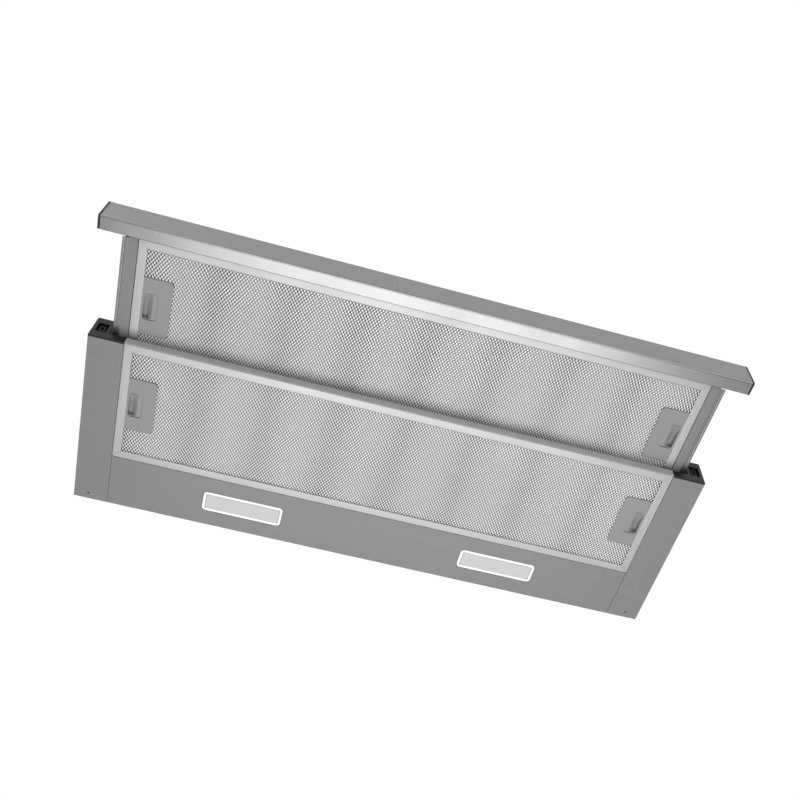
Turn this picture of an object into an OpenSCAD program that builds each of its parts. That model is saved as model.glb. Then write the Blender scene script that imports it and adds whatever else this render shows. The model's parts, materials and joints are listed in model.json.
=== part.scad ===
// Pull out range hood: a body set under and into a wall cabinet, and a steel fronted tray that slides out.
// The tray carries one grease filter out over the hob, and a second filter stays in the body.
// +Z is up and the front faces -Y. The origin is the middle of the footprint, at the underside.

/* [Body] */
// Width across the side boxes
body_w = 898; // [840:1:960]
// Depth of the body behind its front plane
body_d = 280; // [276:1:310]
// Height of the side boxes, the part that stays below the cabinet
body_h = 50; // [50:0.5:56]
// Thickness of the folded sheet steel
sheet = 1; // [0.8:0.1:1.2]
// Width of one side box
side_w = 49; // [47:0.5:54]
// Height of the sills around the body filter
sill_h = 14; // [12:0.5:15]
// Thickness of the plastic end caps' front plates
cap_t = 3; // [2:0.5:4]

/* [Housing] */
// Height of the housing's top above the underside
housing_h = 178; // [174:1:210]
// Step from the side box's outer face to the housing's side wall
housing_step = 24; // [22:0.5:24.5]
// Set back of the housing's front wall, room for the cabinet door
housing_set = 22; // [20:0.5:30]
// Height of the two cabinet screws
screw_z = 90; // [70:1:140]
// Distance between the two cabinet screws
screw_pitch = 200; // [150:5:210]
// Diameter of the cabinet screw holes
screw_d = 5.2; // [4:0.1:6]

/* [Tray] */
// How far the tray slides
travel = 148; // [120:1:150]
// Height of the tray's underside
tray_z = 19; // [17:0.5:19.5]
// Height of the tray's side walls
tray_h = 27; // [25:0.5:27]
// Width of the tray's bottom flanges
flange_w = 12; // [10:0.5:12]
// Thickness of the front bar
bar_t = 20; // [16:0.5:30]
// Height of the front bar
bar_h = 49; // [45:0.5:60]
// Height of the bar's lower edge
bar_z = 12; // [8:0.5:14]
// Radius along the bar's folded edges
bar_r = 1.5; // [1.2:0.1:3]
// Thickness of the bar's end caps
bar_cap_t = 3; // [2:0.5:5]

/* [Filters] */
// Thickness of a grease filter
filter_h = 9; // [8.6:0.1:9.6]
// Width of the filter's folded border
filter_border = 12; // [10:0.5:14]
// Thickness of the filter's aluminium
foil = 0.8; // [0.6:0.1:0.9]
// Length of one diamond of the mesh
mesh_pitch_x = 36; // [34:1:48]
// Width of one diamond of the mesh
mesh_pitch_y = 24; // [23:1:36]

/* [Latches] */
// Width of a latch plate
plate_w = 40; // [38:0.5:44]
// Length of a latch plate
plate_d = 86; // [70:1:100]
// Width of the finger pocket
pocket_w = 19; // [18:0.5:20]
// Length of the finger pocket
pocket_d = 40; // [30:1:50]
// How far a catch draws in
catch_travel = 5.5; // [5.2:0.1:6]

/* [Lamps] */
// Depth of the lamp panel behind the body filter
panel_d = 87.2; // [84:0.1:96]
// Length of a lamp
lamp_w = 120; // [100:1:140]
// Width of a lamp
lamp_d = 34; // [30:0.5:40]
// Distance of a lamp from the middle
lamp_x = 200; // [150:1:280]
// Corner radius of a lamp
lamp_r = 6; // [5:0.5:8]
// Width of the bright rim
rim_w = 4; // [3.5:0.1:5]

/* [Slides] */
// Height of a ball bearing slide
slide_h = 26.2; // [25:0.1:26.6]
// Metal thickness of a slide
slide_t = 1.2; // [1:0.1:1.4]
// Diameter of the slide balls
ball_d = 3; // [2.6:0.1:3.2]
// Balls in one row of a cage
ball_count = 6; // [4:1:8]

/* [Blower] */
// Width of each fan wheel
fan_w = 58; // [50:1:66]
// Blades on a fan wheel
blade_count = 30; // [20:1:36]
// Gap between wheel and scroll at its narrowest
scroll_gap = 5; // [4.5:0.5:6]
// Growth of the scroll in each quarter turn
scroll_step = 5; // [4:0.5:6]
// Length of the motor between the two scrolls
motor_length = 90; // [84:1:110]

/* [Outlet] */
// Diameter of the duct that fits over the collar
duct_d = 150; // [148:0.5:152]
// Height of the collar
collar_h = 45; // [42:1:60]

/* [Controls] */
// Length of the control strip
control_w = 150; // [130:1:200]
// Depth of the control strip
control_d = 18; // [16:0.5:19]
// Travel of the speed slider
speed_travel = 30; // [20:1:36]
// Travel of the light slider
light_travel = 10; // [8:1:14]

/* [Hidden] */
$fn = 64;

// Colours as the photograph shows them
painted = "#8b8b8b";
brushed = "#c8c9ca";
bright = "#cfd0d1";
zinc = "#b4b8ba";
black = "#2b2b2c";
frosted = "#dededa";

// Overrun of every cut past the face that it opens
over = 1;
// Gap between sheets that lie side by side
seam = 0.4;
// Gap between the closed bar and the body's front plane
bar_gap = 0.6;

// Places across the width
half_w = body_w / 2;
sill_x = half_w - side_w;
wall_x = half_w - housing_step;
wall_in = wall_x - sheet;
// Places along the depth, counted from the body's front plane
bar_back = -(travel + bar_gap);
bar_front = bar_back - bar_t;
front_y = -(bar_front + body_d) / 2;
wall_back = body_d - sheet;
// Places up the height
tray_top = tray_z + tray_h;
housing_in = housing_h - sheet;

// Filter cassettes: width, play beside the sills and place of their front edges
filter_play = 0.4;
filter_w = 2 * sill_x - 2 * filter_play;
window_x = filter_w / 2 - filter_border;
body_filter_y = sheet + seam;
tray_filter_y = bar_back + sheet + seam;
filter_rear = body_d - panel_d - seam;
filter_d = filter_rear - body_filter_y;
latch_y = filter_d / 2;
// Share of each diamond that is open, and thickness of the mesh
mesh_open_share = 0.8;
mesh_t = 2.4;

// Latches, counted from the middle of the filter toward its end
plate_r = 6;
pocket_r = 4;
pocket_edge = 3;
plate_x = window_x - plate_w;
pocket_out = window_x - pocket_edge;
pocket_in = pocket_out - pocket_w;
grip_w = 7;
grip_back = pocket_in - catch_travel - seam;
catch_play = 0.4;
catch_d = pocket_d - 2 * catch_play;
catch_z = foil + catch_play;
catch_top = filter_h - foil - catch_play / 2;
catch_floor = 1;
tongue_d = 26;
tongue_h = 3.6;
tongue_out = 4.9;
tongue_slope = 2;
tongue_x = window_x + over;
guide_t = 1.5;
tab_l = 8;
latch_spring_r = 2.4;
latch_spring_wire = 0.6;
latch_spring_y = 10;
slot_play = 0.6;

// Tray
tray_x = sill_x + flange_w;
tray_lip_h = 12;
tray_cover_y = 12;
rail_gap = 1;
rail_front = cap_t + rail_gap;
rail_rear_gap = 23;
rail_l = body_d - 2 * sheet - rail_front - rail_rear_gap;
rail_rear = rail_front + rail_l;
arm_rear = rail_rear - travel;
cross_y = tray_filter_y + filter_d + seam;
cross_d = 9;
switch_tab_w = 14;
bar_wall = 1;
bar_plug_l = 14;
bar_plug_play = 0.2;
bar_mid_y = bar_back - bar_t / 2;
bar_mid_z = bar_z + bar_h / 2;

// Ball bearing slides, in the gap between housing wall and tray wall
slide_w = wall_in - tray_x;
slide_rise = 10;
slide_z = tray_z + slide_rise;
race_play = 0.1;
race_depth = 0.4;
ball_r = ball_d / 2;
slide_face = slide_h / 2 - slide_t;
ball_v = slide_face + race_depth - ball_r - race_play;
inner_face = ball_v - ball_r - race_play + race_depth;
ball_u = 6.2;
cage_t = 0.8;
cage_play = 0.5;
cage_u = slide_t + cage_play;
inner_tip = cage_u + cage_t + cage_play;
slide_mouth = 1.4;
outer_flange = slide_w - slide_t - slide_mouth;
cage_flange = outer_flange - cage_play;
ball_pitch = 15;
cage_l = ball_pitch * ball_count;
// The cage stands midway along the overlap of its two members with the tray out
cage_y = (rail_front + arm_rear - cage_l) / 2;
slide_hole_r = 2;
slide_hole_inset = 20;

// End caps
cap_wall = 5;
cap_socket_w = 15;
cap_socket_h = 23;
cap_socket_depth = 8;
cap_boss_share = 0.55;
cap_boss_h = 6;
cap_plug_l = 14;
cap_plug_t = 2;

// Light panel and lamps
panel_front = filter_rear + seam;
panel_flange = 14;
lamp_y = (panel_front + body_d) / 2;
lamp_play = 0.3;
bezel_flange = 3;
bezel_t = 1.5;
lens_lip = 2.2;
lens_t = 2.4;
lamp_body_h = 13.5;
lamp_wall = 1.5;
board_t = 1.6;
board_gap = 5;
vent_pitch_share = 1 / 8;
led_row_share = 1 / 6;
led_size = 3;
led_t = 1;
led_columns = 8;
screw_hole_r = 1.6;
screw_inset_x = 3;
screw_inset_y = 10;
screw_hole_x = wall_x + screw_inset_x;
screw_hole_y = body_d - screw_inset_y;
wall_flange = 9;

// Blower: its wheels fill the height between the closed tray and the plenum
plenum_h = 18;
plenum_z = housing_in - plenum_h;
scroll_wall = 1.5;
blower_gap = 7;
blower_top = 4;
fan_d = plenum_z - tray_top - blower_gap - blower_top - 2 * (scroll_wall + scroll_gap) - scroll_step;
fan_r = fan_d / 2;
scroll_r = fan_r + scroll_gap;
fan_y = 130;
fan_z = tray_top + blower_gap + scroll_wall + scroll_r + scroll_step;
scroll_x = motor_length / 2;
wheel_gap = 3;
scroll_w = fan_w + 2 * wheel_gap + 2 * scroll_wall;
tongue_share = 0.3;
channel_in = scroll_r * tongue_share;
channel_out = scroll_r + 3 * scroll_step;
inlet_step = 8;
inlet_r = fan_r - inlet_step;
inlet_bell = 4;
shaft_r = 4;
shaft_play = 0.05;
wheel_disc = 1.5;
wheel_ring = 2.5;
wheel_rim = 1;
blade_depth = 8;
blade_t = 0.7;
blade_arc = 8;
blade_sink = 2;
hub_r = 9;
hub_l = 14;
motor_share = 6 / 7;
motor_d = fan_d * motor_share;
bell_share = 1 / 6;
motor_bell = motor_d * bell_share;
motor_boss = 10;
motor_foot = 3;
motor_foot_r = fan_r;
vent_count = 8;
vent_w = 5;

// Outlet collar and its flaps
duct_r = duct_d / 2;
collar_offset = 30;
collar_y = fan_y + collar_offset;
collar_wall = 1.5;
collar_in = duct_r - collar_wall;
collar_flange = 13;
collar_lead = 2;
collar_rest = 3;
collar_rest_t = 2;
collar_screw_r = 2.2;
flap_rise = 22;
flap_z = housing_h + flap_rise;
flap_t = 1.2;
flap_play = 1;
flap_r = collar_in - flap_play;
flap_edge = 4;
rod_r = 1.5;
rod_play = 0.05;
knuckle_r = 3;
knuckle_l = 12;
knuckle_far = 58;
knuckle_near = 26;
rod_boss_l = 2.5;
plenum_side = 6;
plenum_x = scroll_x + scroll_w + plenum_side;

// Electrical parts under the housing's top
box_wall = 1.6;
terminal_inset = 105;
terminal_x = wall_x - terminal_inset;
terminal_w = 80;
terminal_d = 60;
terminal_h = 36;
terminal_rear = 75;
terminal_y = body_d - terminal_rear;
gland_bore = 5;
gland_r = 9;
gland_neck_r = 7.4;
gland_h = 14;
gland_nut_h = 4;
gland_in = 8;
driver_w = 90;
driver_d = 44;
driver_h = 24;
capacitor_r = 14;
capacitor_l = 48;
capacitor_x = 190;
capacitor_y = 62;
switch_w = 10;
switch_h = 16;
switch_d = 19;
switch_rise = 6;
switch_z = tray_z + switch_rise;
switch_play = 0.6;

// Control strip behind the bar
control_h = 11;
control_inset = 20;
control_x = sill_x - control_inset;
control_r = 2;
control_wall = 1.6;
control_play = 0.4;
knob_w = 14;
knob_d = 10;
knob_h = 3;
knob_lift = 0.3;
stem_w = 6;
stem_d = 3;
foot_w = 9;
foot_d = 7;
foot_h = 1.6;
knob_ribs = 4;
knob_rib_w = 1;
knob_rib_h = 0.5;
speed_inset = 22;
light_inset = 34;
speed_x = control_x - control_w + speed_inset;
light_x = control_x - light_inset;

// Shifts the body's front plane to its place about the origin
module placed() {
    translate([0, front_y, 0]) children();
}

// Box given by its two corners on each axis
module slab(x0, x1, y0, y1, z0, z1) {
    translate([x0, y0, z0]) cube([x1 - x0, y1 - y0, z1 - z0]);
}

// A piece and its mirror image on the other side
module both() {
    children();
    mirror([1, 0, 0]) children();
}

// The left hand copy of a right hand piece
module left() {
    mirror([1, 0, 0]) children();
}

// Profile in Y and Z, drawn out along X
module along_x(x0, x1) {
    translate([x0, 0, 0]) rotate([90, 0, 90]) linear_extrude(x1 - x0) children();
}

// Profile in X and Z, drawn out along Y
module along_y(y0, y1) {
    translate([0, y1, 0]) rotate([90, 0, 0]) linear_extrude(y1 - y0) children();
}

// Outline with round corners about its middle
module rounded(w, d, r) {
    square([w - 2 * r, d], center = true);
    square([w, d - 2 * r], center = true);
    for (x = [-1, 1], y = [-1, 1]) {
        translate([x * (w / 2 - r), y * (d / 2 - r)]) circle(r);
    }
}

// Upper housing: one sheet folded over the front, the top and the rear, open at the bottom
module upper_housing() {
    color(zinc) placed() difference() {
        union() {
            slab(-wall_in, wall_in, housing_set, wall_back, housing_in, housing_h);
            slab(-wall_in, wall_in, wall_back - sheet, wall_back, sheet, housing_h);
            slab(-wall_in, wall_in, housing_set, housing_set + sheet, tray_top + 2 * sheet, housing_h);
            slab(-wall_in, wall_in, housing_set, housing_set + collar_flange, tray_top + 2 * sheet, tray_top + 3 * sheet);
        }
        translate([0, collar_y, 0]) cylinder(r = collar_in - collar_rest, h = housing_h + over);
        translate([terminal_x, terminal_y, 0]) cylinder(r = gland_neck_r, h = housing_h + over);
    }
}

// Side wall of the housing: it reaches down into the side box, carries the slide and takes the cabinet screws
module housing_side() {
    difference() {
        union() {
            along_x(wall_in, wall_x) polygon([
                [cap_t, sheet], [wall_back, sheet], [wall_back, housing_h],
                [housing_set, housing_h], [housing_set, body_h], [cap_t, body_h]]);
            slab(wall_in, wall_x + wall_flange, housing_set, wall_back, sheet, 2 * sheet);
        }
        for (y = [-1, 1]) {
            translate([wall_in - over, (housing_set + wall_back + y * screw_pitch) / 2, screw_z])
                rotate([0, 90, 0]) cylinder(d = screw_d, h = sheet + 2 * over);
        }
        translate([screw_hole_x, screw_hole_y, 0]) cylinder(r = screw_hole_r, h = body_h);
    }
}

module housing_side_left() {
    color(zinc) placed() left() housing_side();
}

module housing_side_right() {
    color(zinc) placed() housing_side();
}

// Side box: base, outer wall, sill beside the filter, rear wall and the flange that meets the cabinet
module side_box() {
    difference() {
        union() {
            slab(sill_x, half_w, cap_t, body_d, 0, sheet);
            slab(half_w - sheet, half_w, cap_t, body_d, 0, body_h);
            slab(sill_x, sill_x + sheet, cap_t, wall_back - sheet, 0, sill_h);
            slab(sill_x, half_w, wall_back, body_d, 0, body_h);
            slab(wall_x, half_w, cap_t, body_d, body_h - sheet, body_h);
        }
        catch_slot(body_filter_y, 0, sill_x);
        translate([screw_hole_x, screw_hole_y, -over]) cylinder(r = screw_hole_r, h = sheet + 2 * over);
    }
}

// Slot in a sill for the tongue of a catch
module catch_slot(filter_y, filter_z, x) {
    slab(x - over, x + sheet + over, filter_y + latch_y - tongue_d / 2 - slot_play,
        filter_y + latch_y + tongue_d / 2 + slot_play, filter_z + catch_top - tongue_h - slot_play,
        filter_z + catch_top + slot_play);
}

module side_box_left() {
    color(painted) placed() left() side_box();
}

module side_box_right() {
    color(painted) placed() side_box();
}

// Moulded end cap: a low band beside the sill and a tall block with a square socket beside the slide
module end_cap() {
    socket_x = half_w - cap_wall - cap_socket_w / 2;
    socket_z = sill_h + cap_socket_h / 2;
    boss_w = cap_socket_w * cap_boss_share;
    boss_l = cap_socket_h * cap_boss_share;
    difference() {
        union() {
            along_y(0, cap_t) polygon([[sill_x, 0], [half_w, 0], [half_w, body_h], [wall_in, body_h],
                [wall_in, sill_h], [sill_x, sill_h]]);
            // Cup behind the socket
            slab(socket_x - cap_socket_w / 2 - cap_plug_t, socket_x + cap_socket_w / 2 + cap_plug_t,
                cap_t, cap_socket_depth + cap_plug_t,
                socket_z - cap_socket_h / 2 - cap_plug_t, socket_z + cap_socket_h / 2 + cap_plug_t);
            // Plug walls that push into the side box
            slab(wall_x + seam, half_w - sheet, cap_t, cap_plug_l, body_h - sheet - cap_plug_t, body_h - sheet);
            slab(half_w - sheet - cap_plug_t, half_w - sheet, cap_t, cap_plug_l, sheet, body_h - sheet);
            slab(sill_x + sheet, wall_in - seam, cap_t, cap_plug_l, sheet, sheet + cap_plug_t);
        }
        translate([socket_x, 0, socket_z]) along_y(-over, cap_socket_depth)
            rounded(cap_socket_w, cap_socket_h, cap_t / 2);
    }
    translate([socket_x, 0, socket_z]) difference() {
        along_y(cap_socket_depth - cap_boss_h, cap_socket_depth) rounded(boss_w, boss_l, cap_t / 2);
        along_y(-over, cap_socket_depth - cap_t) rounded(boss_w - cap_t, boss_l - cap_t, cap_t / 4);
    }
}

module end_cap_left() {
    color(black) placed() left() end_cap();
}

module end_cap_right() {
    color(black) placed() end_cap();
}

// Folded sill across the front, between the end caps, over the body filter's front edge
module front_sill() {
    color(painted) placed() {
        slab(-sill_x, sill_x, 0, sheet, 0, sill_h);
        slab(-sill_x, sill_x, 0, filter_border, sill_h - sheet, sill_h);
    }
}

// Lamp panel behind the body filter
module light_panel() {
    color(painted) placed() difference() {
        union() {
            slab(-sill_x + filter_play, sill_x - filter_play, panel_front, body_d, 0, sheet);
            slab(-sill_x + filter_play, sill_x - filter_play, panel_front, panel_front + sheet, 0, panel_flange);
            slab(-sill_x + filter_play, sill_x - filter_play, wall_back, body_d, 0, panel_flange);
            both() slab(sill_x - filter_play - sheet, sill_x - filter_play, panel_front, wall_back - sheet,
                0, panel_flange - sheet);
        }
        both() translate([lamp_x, lamp_y, -over]) linear_extrude(sheet + 2 * over)
            rounded(lamp_w + 2 * lamp_play, lamp_d + 2 * lamp_play, lamp_r);
    }
}

// Lamp pieces about the middle of a lamp: rim, lens, board with its diodes, and body
module lamp_bezel() {
    difference() {
        union() {
            linear_extrude(sheet + bezel_t) rounded(lamp_w, lamp_d, lamp_r);
            translate([0, 0, sheet]) linear_extrude(bezel_t)
                rounded(lamp_w + 2 * bezel_flange, lamp_d + 2 * bezel_flange, lamp_r + bezel_flange / 2);
        }
        translate([0, 0, -over]) linear_extrude(sheet + bezel_t + 2 * over)
            rounded(lamp_w - 2 * rim_w, lamp_d - 2 * rim_w, lamp_r / 2);
    }
}

module lamp_lens() {
    translate([0, 0, lamp_play]) linear_extrude(sheet + bezel_t - lamp_play)
        rounded(lamp_w - 2 * rim_w - 2 * lamp_play, lamp_d - 2 * rim_w - 2 * lamp_play, lamp_r / 2);
    translate([0, 0, sheet + bezel_t]) linear_extrude(lens_t)
        rounded(lamp_w - 2 * rim_w + lens_lip, lamp_d - 2 * rim_w + lens_lip, lamp_r / 2);
}

module lamp_body() {
    base = sheet + bezel_t;
    difference() {
        translate([0, 0, base]) linear_extrude(lamp_body_h) rounded(lamp_w, lamp_d, lamp_r);
        translate([0, 0, base - over]) linear_extrude(lamp_body_h - lamp_wall + over)
            rounded(lamp_w - 2 * lamp_wall, lamp_d - 2 * lamp_wall, lamp_r / 2);
        // Vent slots across the top
        for (k = [-3 : 3]) {
            translate([k * lamp_w * vent_pitch_share, 0, base + lamp_body_h - lamp_wall - over])
                linear_extrude(lamp_wall + 2 * over) rounded(rim_w, lamp_d - 4 * rim_w, lamp_wall);
        }
    }
    // Posts that carry the board
    both() translate([lamp_w / 2 - 2 * rim_w, 0, base + lens_t + board_gap + board_t])
        cylinder(r = lamp_wall, h = lamp_body_h - lens_t - board_gap - board_t - lamp_wall);
}

module lamp_board() {
    base = sheet + bezel_t + lens_t + board_gap;
    translate([0, 0, base]) linear_extrude(board_t)
        rounded(lamp_w - 4 * lamp_wall, lamp_d - 4 * lamp_wall, lamp_wall);
    for (k = [0 : led_columns - 1], y = [-1, 1]) {
        x = (k - (led_columns - 1) / 2) * (lamp_w - 2 * rim_w) / led_columns;
        translate([x - led_size / 2, y * lamp_d * led_row_share - led_size / 2, base - led_t])
            cube([led_size, led_size, led_t]);
    }
}

module lamp_bezel_left() {
    color(bright) placed() translate([-lamp_x, lamp_y, 0]) lamp_bezel();
}

module lamp_bezel_right() {
    color(bright) placed() translate([lamp_x, lamp_y, 0]) lamp_bezel();
}

module lamp_lens_left() {
    color(frosted) placed() translate([-lamp_x, lamp_y, 0]) lamp_lens();
}

module lamp_lens_right() {
    color(frosted) placed() translate([lamp_x, lamp_y, 0]) lamp_lens();
}

module lamp_body_left() {
    color(frosted) placed() translate([-lamp_x, lamp_y, 0]) lamp_body();
}

module lamp_body_right() {
    color(frosted) placed() translate([lamp_x, lamp_y, 0]) lamp_body();
}

module lamp_board_left() {
    color(frosted) placed() translate([-lamp_x, lamp_y, 0]) lamp_board();
}

module lamp_board_right() {
    color(frosted) placed() translate([lamp_x, lamp_y, 0]) lamp_board();
}

// Driver of the lamps, screwed under the housing's top
module led_driver() {
    color(black) placed() translate([-terminal_x, terminal_y, housing_in - driver_h]) {
        linear_extrude(driver_h) rounded(driver_w, driver_d, control_r);
        both() slab(driver_w / 2 - control_r, driver_w / 2 + terminal_h / 3, -driver_d / 4, driver_d / 4,
            driver_h - box_wall, driver_h);
    }
}

// Grease filter cassette: a folded border that holds the mesh
module filter_frame() {
    difference() {
        slab(-filter_w / 2, filter_w / 2, 0, filter_d, 0, filter_h);
        slab(-filter_w / 2 + foil, filter_w / 2 - foil, foil, filter_d - foil, foil, filter_h - foil);
        slab(-window_x, window_x, filter_border, filter_d - filter_border, -over, filter_h + over);
        both() slab(filter_w / 2 - foil - over, filter_w / 2 + over, latch_y - tongue_d / 2 - slot_play,
            latch_y + tongue_d / 2 + slot_play, catch_top - tongue_h - slot_play, filter_h - foil);
    }
}

// Expanded mesh, drawn with coarse diamonds in staggered rows, cut out around the latches
module filter_mesh() {
    net_x = window_x - mesh_pitch_x / 4;
    net_y = latch_y - filter_border - mesh_pitch_y / 4;
    columns = floor(2 * net_x / mesh_pitch_x);
    rows = floor(4 * net_y / mesh_pitch_y);
    difference() {
        slab(-filter_w / 2 + foil + filter_play, filter_w / 2 - foil - filter_play,
            foil + filter_play, filter_d - foil - filter_play, foil, foil + mesh_t);
        both() slab(plate_x - catch_play, filter_w / 2, latch_y - plate_d / 2 - catch_play,
            latch_y + plate_d / 2 + catch_play, 0, filter_h);
        for (j = [0 : rows - 1], i = [0 : columns - 1 - j % 2]) {
            x = (i - (columns - 1 - j % 2) / 2) * mesh_pitch_x;
            y = (j - (rows - 1) / 2) * mesh_pitch_y / 2;
            if (abs(x) < plate_x - mesh_pitch_x / 2 || abs(y) > (plate_d + mesh_pitch_y) / 2) {
                translate([x, latch_y + y, 0]) linear_extrude(filter_h) polygon([
                    [-mesh_pitch_x / 2 * mesh_open_share, 0], [0, -mesh_pitch_y / 2 * mesh_open_share],
                    [mesh_pitch_x / 2 * mesh_open_share, 0], [0, mesh_pitch_y / 2 * mesh_open_share]]);
            }
        }
    }
}

// Latch case: a painted plate with a finger pocket, its folded walls, its cover and the catch's guides
module latch_case() {
    low = latch_y - plate_d / 2;
    high = latch_y + plate_d / 2;
    mid = (pocket_in + pocket_out) / 2;
    difference() {
        intersection() {
            translate([plate_x + plate_w / 2 + plate_r, latch_y, 0]) linear_extrude(foil)
                rounded(plate_w + 2 * plate_r, plate_d, plate_r);
            slab(plate_x, window_x, low, high, 0, foil);
        }
        translate([mid, latch_y, -over]) linear_extrude(foil + 2 * over) rounded(pocket_w, pocket_d, pocket_r);
    }
    slab(plate_x, plate_x + foil, low + plate_r, high - plate_r, foil, filter_h);
    slab(plate_x, window_x, low + plate_r, low + plate_r + foil, foil, filter_h);
    slab(plate_x, window_x, high - plate_r - foil, high - plate_r, foil, filter_h);
    slab(plate_x, window_x, low + plate_r, high - plate_r, filter_h - foil, filter_h);
    // Guides beside the catch, and tabs that lie in the folded border
    for (s = [-1, 1]) {
        translate([0, latch_y + s * (catch_d + guide_t + 2 * catch_play) / 2, 0])
            slab(plate_x, window_x, -guide_t / 2, guide_t / 2, foil, filter_h - foil);
        translate([0, latch_y + s * (plate_d / 2 - plate_r - tab_l / 2), 0])
            slab(window_x - tab_l, window_x + filter_border - 2 * foil, -tab_l / 2, tab_l / 2, foil, 2 * foil);
    }
}

// Catch: a grip that a finger draws in, a floor over the pocket, and a tongue with a sloped lead
module catch_piece() {
    end = filter_w / 2 + tongue_out;
    translate([0, latch_y, 0]) {
        along_y(-catch_d / 2, catch_d / 2) polygon([
            [grip_back, catch_z], [pocket_in + grip_w, catch_z], [pocket_in + grip_w, catch_top - catch_floor],
            [tongue_x, catch_top - catch_floor], [tongue_x, catch_top], [grip_back, catch_top]]);
        along_y(-tongue_d / 2, tongue_d / 2) polygon([
            [tongue_x - over, catch_top - catch_floor], [tongue_x, catch_top - tongue_h],
            [end, catch_top - tongue_h], [end, catch_top - tongue_slope],
            [end - tongue_slope, catch_top], [tongue_x - over, catch_top]]);
    }
}

// Return springs of a catch, drawn as plain tubes inside the closed case
module latch_springs() {
    both() for (s = [-1, 1]) {
        translate([plate_x + foil, latch_y + s * latch_spring_y, (catch_z + catch_top) / 2])
            rotate([0, 90, 0]) difference() {
                cylinder(r = latch_spring_r, h = grip_back - plate_x - foil);
                translate([0, 0, -over]) cylinder(r = latch_spring_r - latch_spring_wire,
                    h = grip_back - plate_x - foil + 2 * over);
            }
    }
}

module in_body() {
    placed() translate([0, body_filter_y, 0]) children();
}

module in_tray() {
    placed() translate([0, tray_filter_y, tray_z]) children();
}

module body_filter_frame() {
    color(bright) in_body() filter_frame();
}

module body_filter_mesh() {
    color(bright) in_body() filter_mesh();
}

module body_latch_left() {
    color(painted) in_body() left() latch_case();
}

module body_latch_right() {
    color(painted) in_body() latch_case();
}

module body_latch_springs() {
    color(zinc) in_body() latch_springs();
}

module body_catch_left() {
    color(painted) in_body() left() catch_piece();
}

module body_catch_right() {
    color(painted) in_body() catch_piece();
}

module tray_filter_frame() {
    color(bright) in_tray() filter_frame();
}

module tray_filter_mesh() {
    color(bright) in_tray() filter_mesh();
}

module tray_latch_left() {
    color(painted) in_tray() left() latch_case();
}

module tray_latch_right() {
    color(painted) in_tray() latch_case();
}

module tray_latch_springs() {
    color(zinc) in_tray() latch_springs();
}

module tray_catch_left() {
    color(painted) in_tray() left() catch_piece();
}

module tray_catch_right() {
    color(painted) in_tray() catch_piece();
}

// Outer slide member: a channel on the housing wall, open toward the tray, with a groove in each flange
module rail_outer() {
    difference() {
        translate([wall_in, 0, slide_z]) mirror([1, 0, 0]) along_y(rail_front, rail_rear) difference() {
            union() {
                translate([0, -slide_h / 2]) square([slide_t, slide_h]);
                for (v = [-slide_h / 2, slide_face]) {
                    translate([0, v]) square([outer_flange, slide_t]);
                }
            }
            for (s = [-1, 1]) {
                translate([ball_u, s * ball_v]) circle(ball_r + race_play);
            }
        }
        for (y = [rail_front + slide_hole_inset, rail_rear - slide_hole_inset]) {
            translate([wall_in + over, y, slide_z]) rotate([0, -90, 0])
                cylinder(r = slide_hole_r, h = slide_t + 2 * over);
        }
    }
}

// Inner slide member: a channel on the tray wall, open toward the housing
module rail_inner() {
    difference() {
        translate([wall_in, -travel, slide_z]) mirror([1, 0, 0]) along_y(rail_front, rail_rear) difference() {
            union() {
                translate([slide_w - slide_t, -inner_face]) square([slide_t, 2 * inner_face]);
                for (v = [-inner_face, inner_face - slide_t]) {
                    translate([inner_tip, v]) square([slide_w - inner_tip, slide_t]);
                }
            }
            for (s = [-1, 1]) {
                translate([ball_u, s * ball_v]) circle(ball_r + race_play);
            }
        }
        for (y = [rail_front - travel + slide_hole_inset, arm_rear - slide_hole_inset]) {
            translate([tray_x + slide_t + over, y, slide_z]) rotate([0, -90, 0])
                cylinder(r = slide_hole_r, h = slide_t + 2 * over);
        }
    }
}

// Ball cage between the members, with its two rows of balls
module ball_cage() {
    translate([wall_in, 0, slide_z]) mirror([1, 0, 0]) {
        difference() {
            along_y(cage_y, cage_y + cage_l) {
                translate([cage_u, -ball_v - cage_t / 2]) square([cage_t, 2 * ball_v + cage_t]);
                for (s = [-1, 1]) {
                    translate([cage_u, s * ball_v - cage_t / 2]) square([cage_flange - cage_u, cage_t]);
                }
            }
            for (k = [0 : ball_count - 1]) {
                translate([ball_u, cage_y + (k + 1 / 2) * ball_pitch, -slide_h / 2])
                    cylinder(r = ball_r + 2 * race_play, h = slide_h);
            }
        }
        for (k = [0 : ball_count - 1], s = [-1, 1]) {
            translate([ball_u, cage_y + (k + 1 / 2) * ball_pitch, s * ball_v]) sphere(ball_r);
        }
    }
}

module rail_outer_left() {
    color(zinc) placed() left() rail_outer();
}

module rail_outer_right() {
    color(zinc) placed() rail_outer();
}

module rail_inner_left() {
    color(zinc) placed() left() rail_inner();
}

module rail_inner_right() {
    color(zinc) placed() rail_inner();
}

module ball_cage_left() {
    color(zinc) placed() left() ball_cage();
}

module ball_cage_right() {
    color(zinc) placed() ball_cage();
}

// Brushed steel front bar: a closed folded tube, its ends closed by two caps
module front_bar() {
    color(brushed) placed() translate([0, bar_mid_y, bar_mid_z]) along_x(-half_w, half_w) difference() {
        rounded(bar_t, bar_h, bar_r);
        rounded(bar_t - 2 * bar_wall, bar_h - 2 * bar_wall, bar_r / 2);
    }
}

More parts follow.
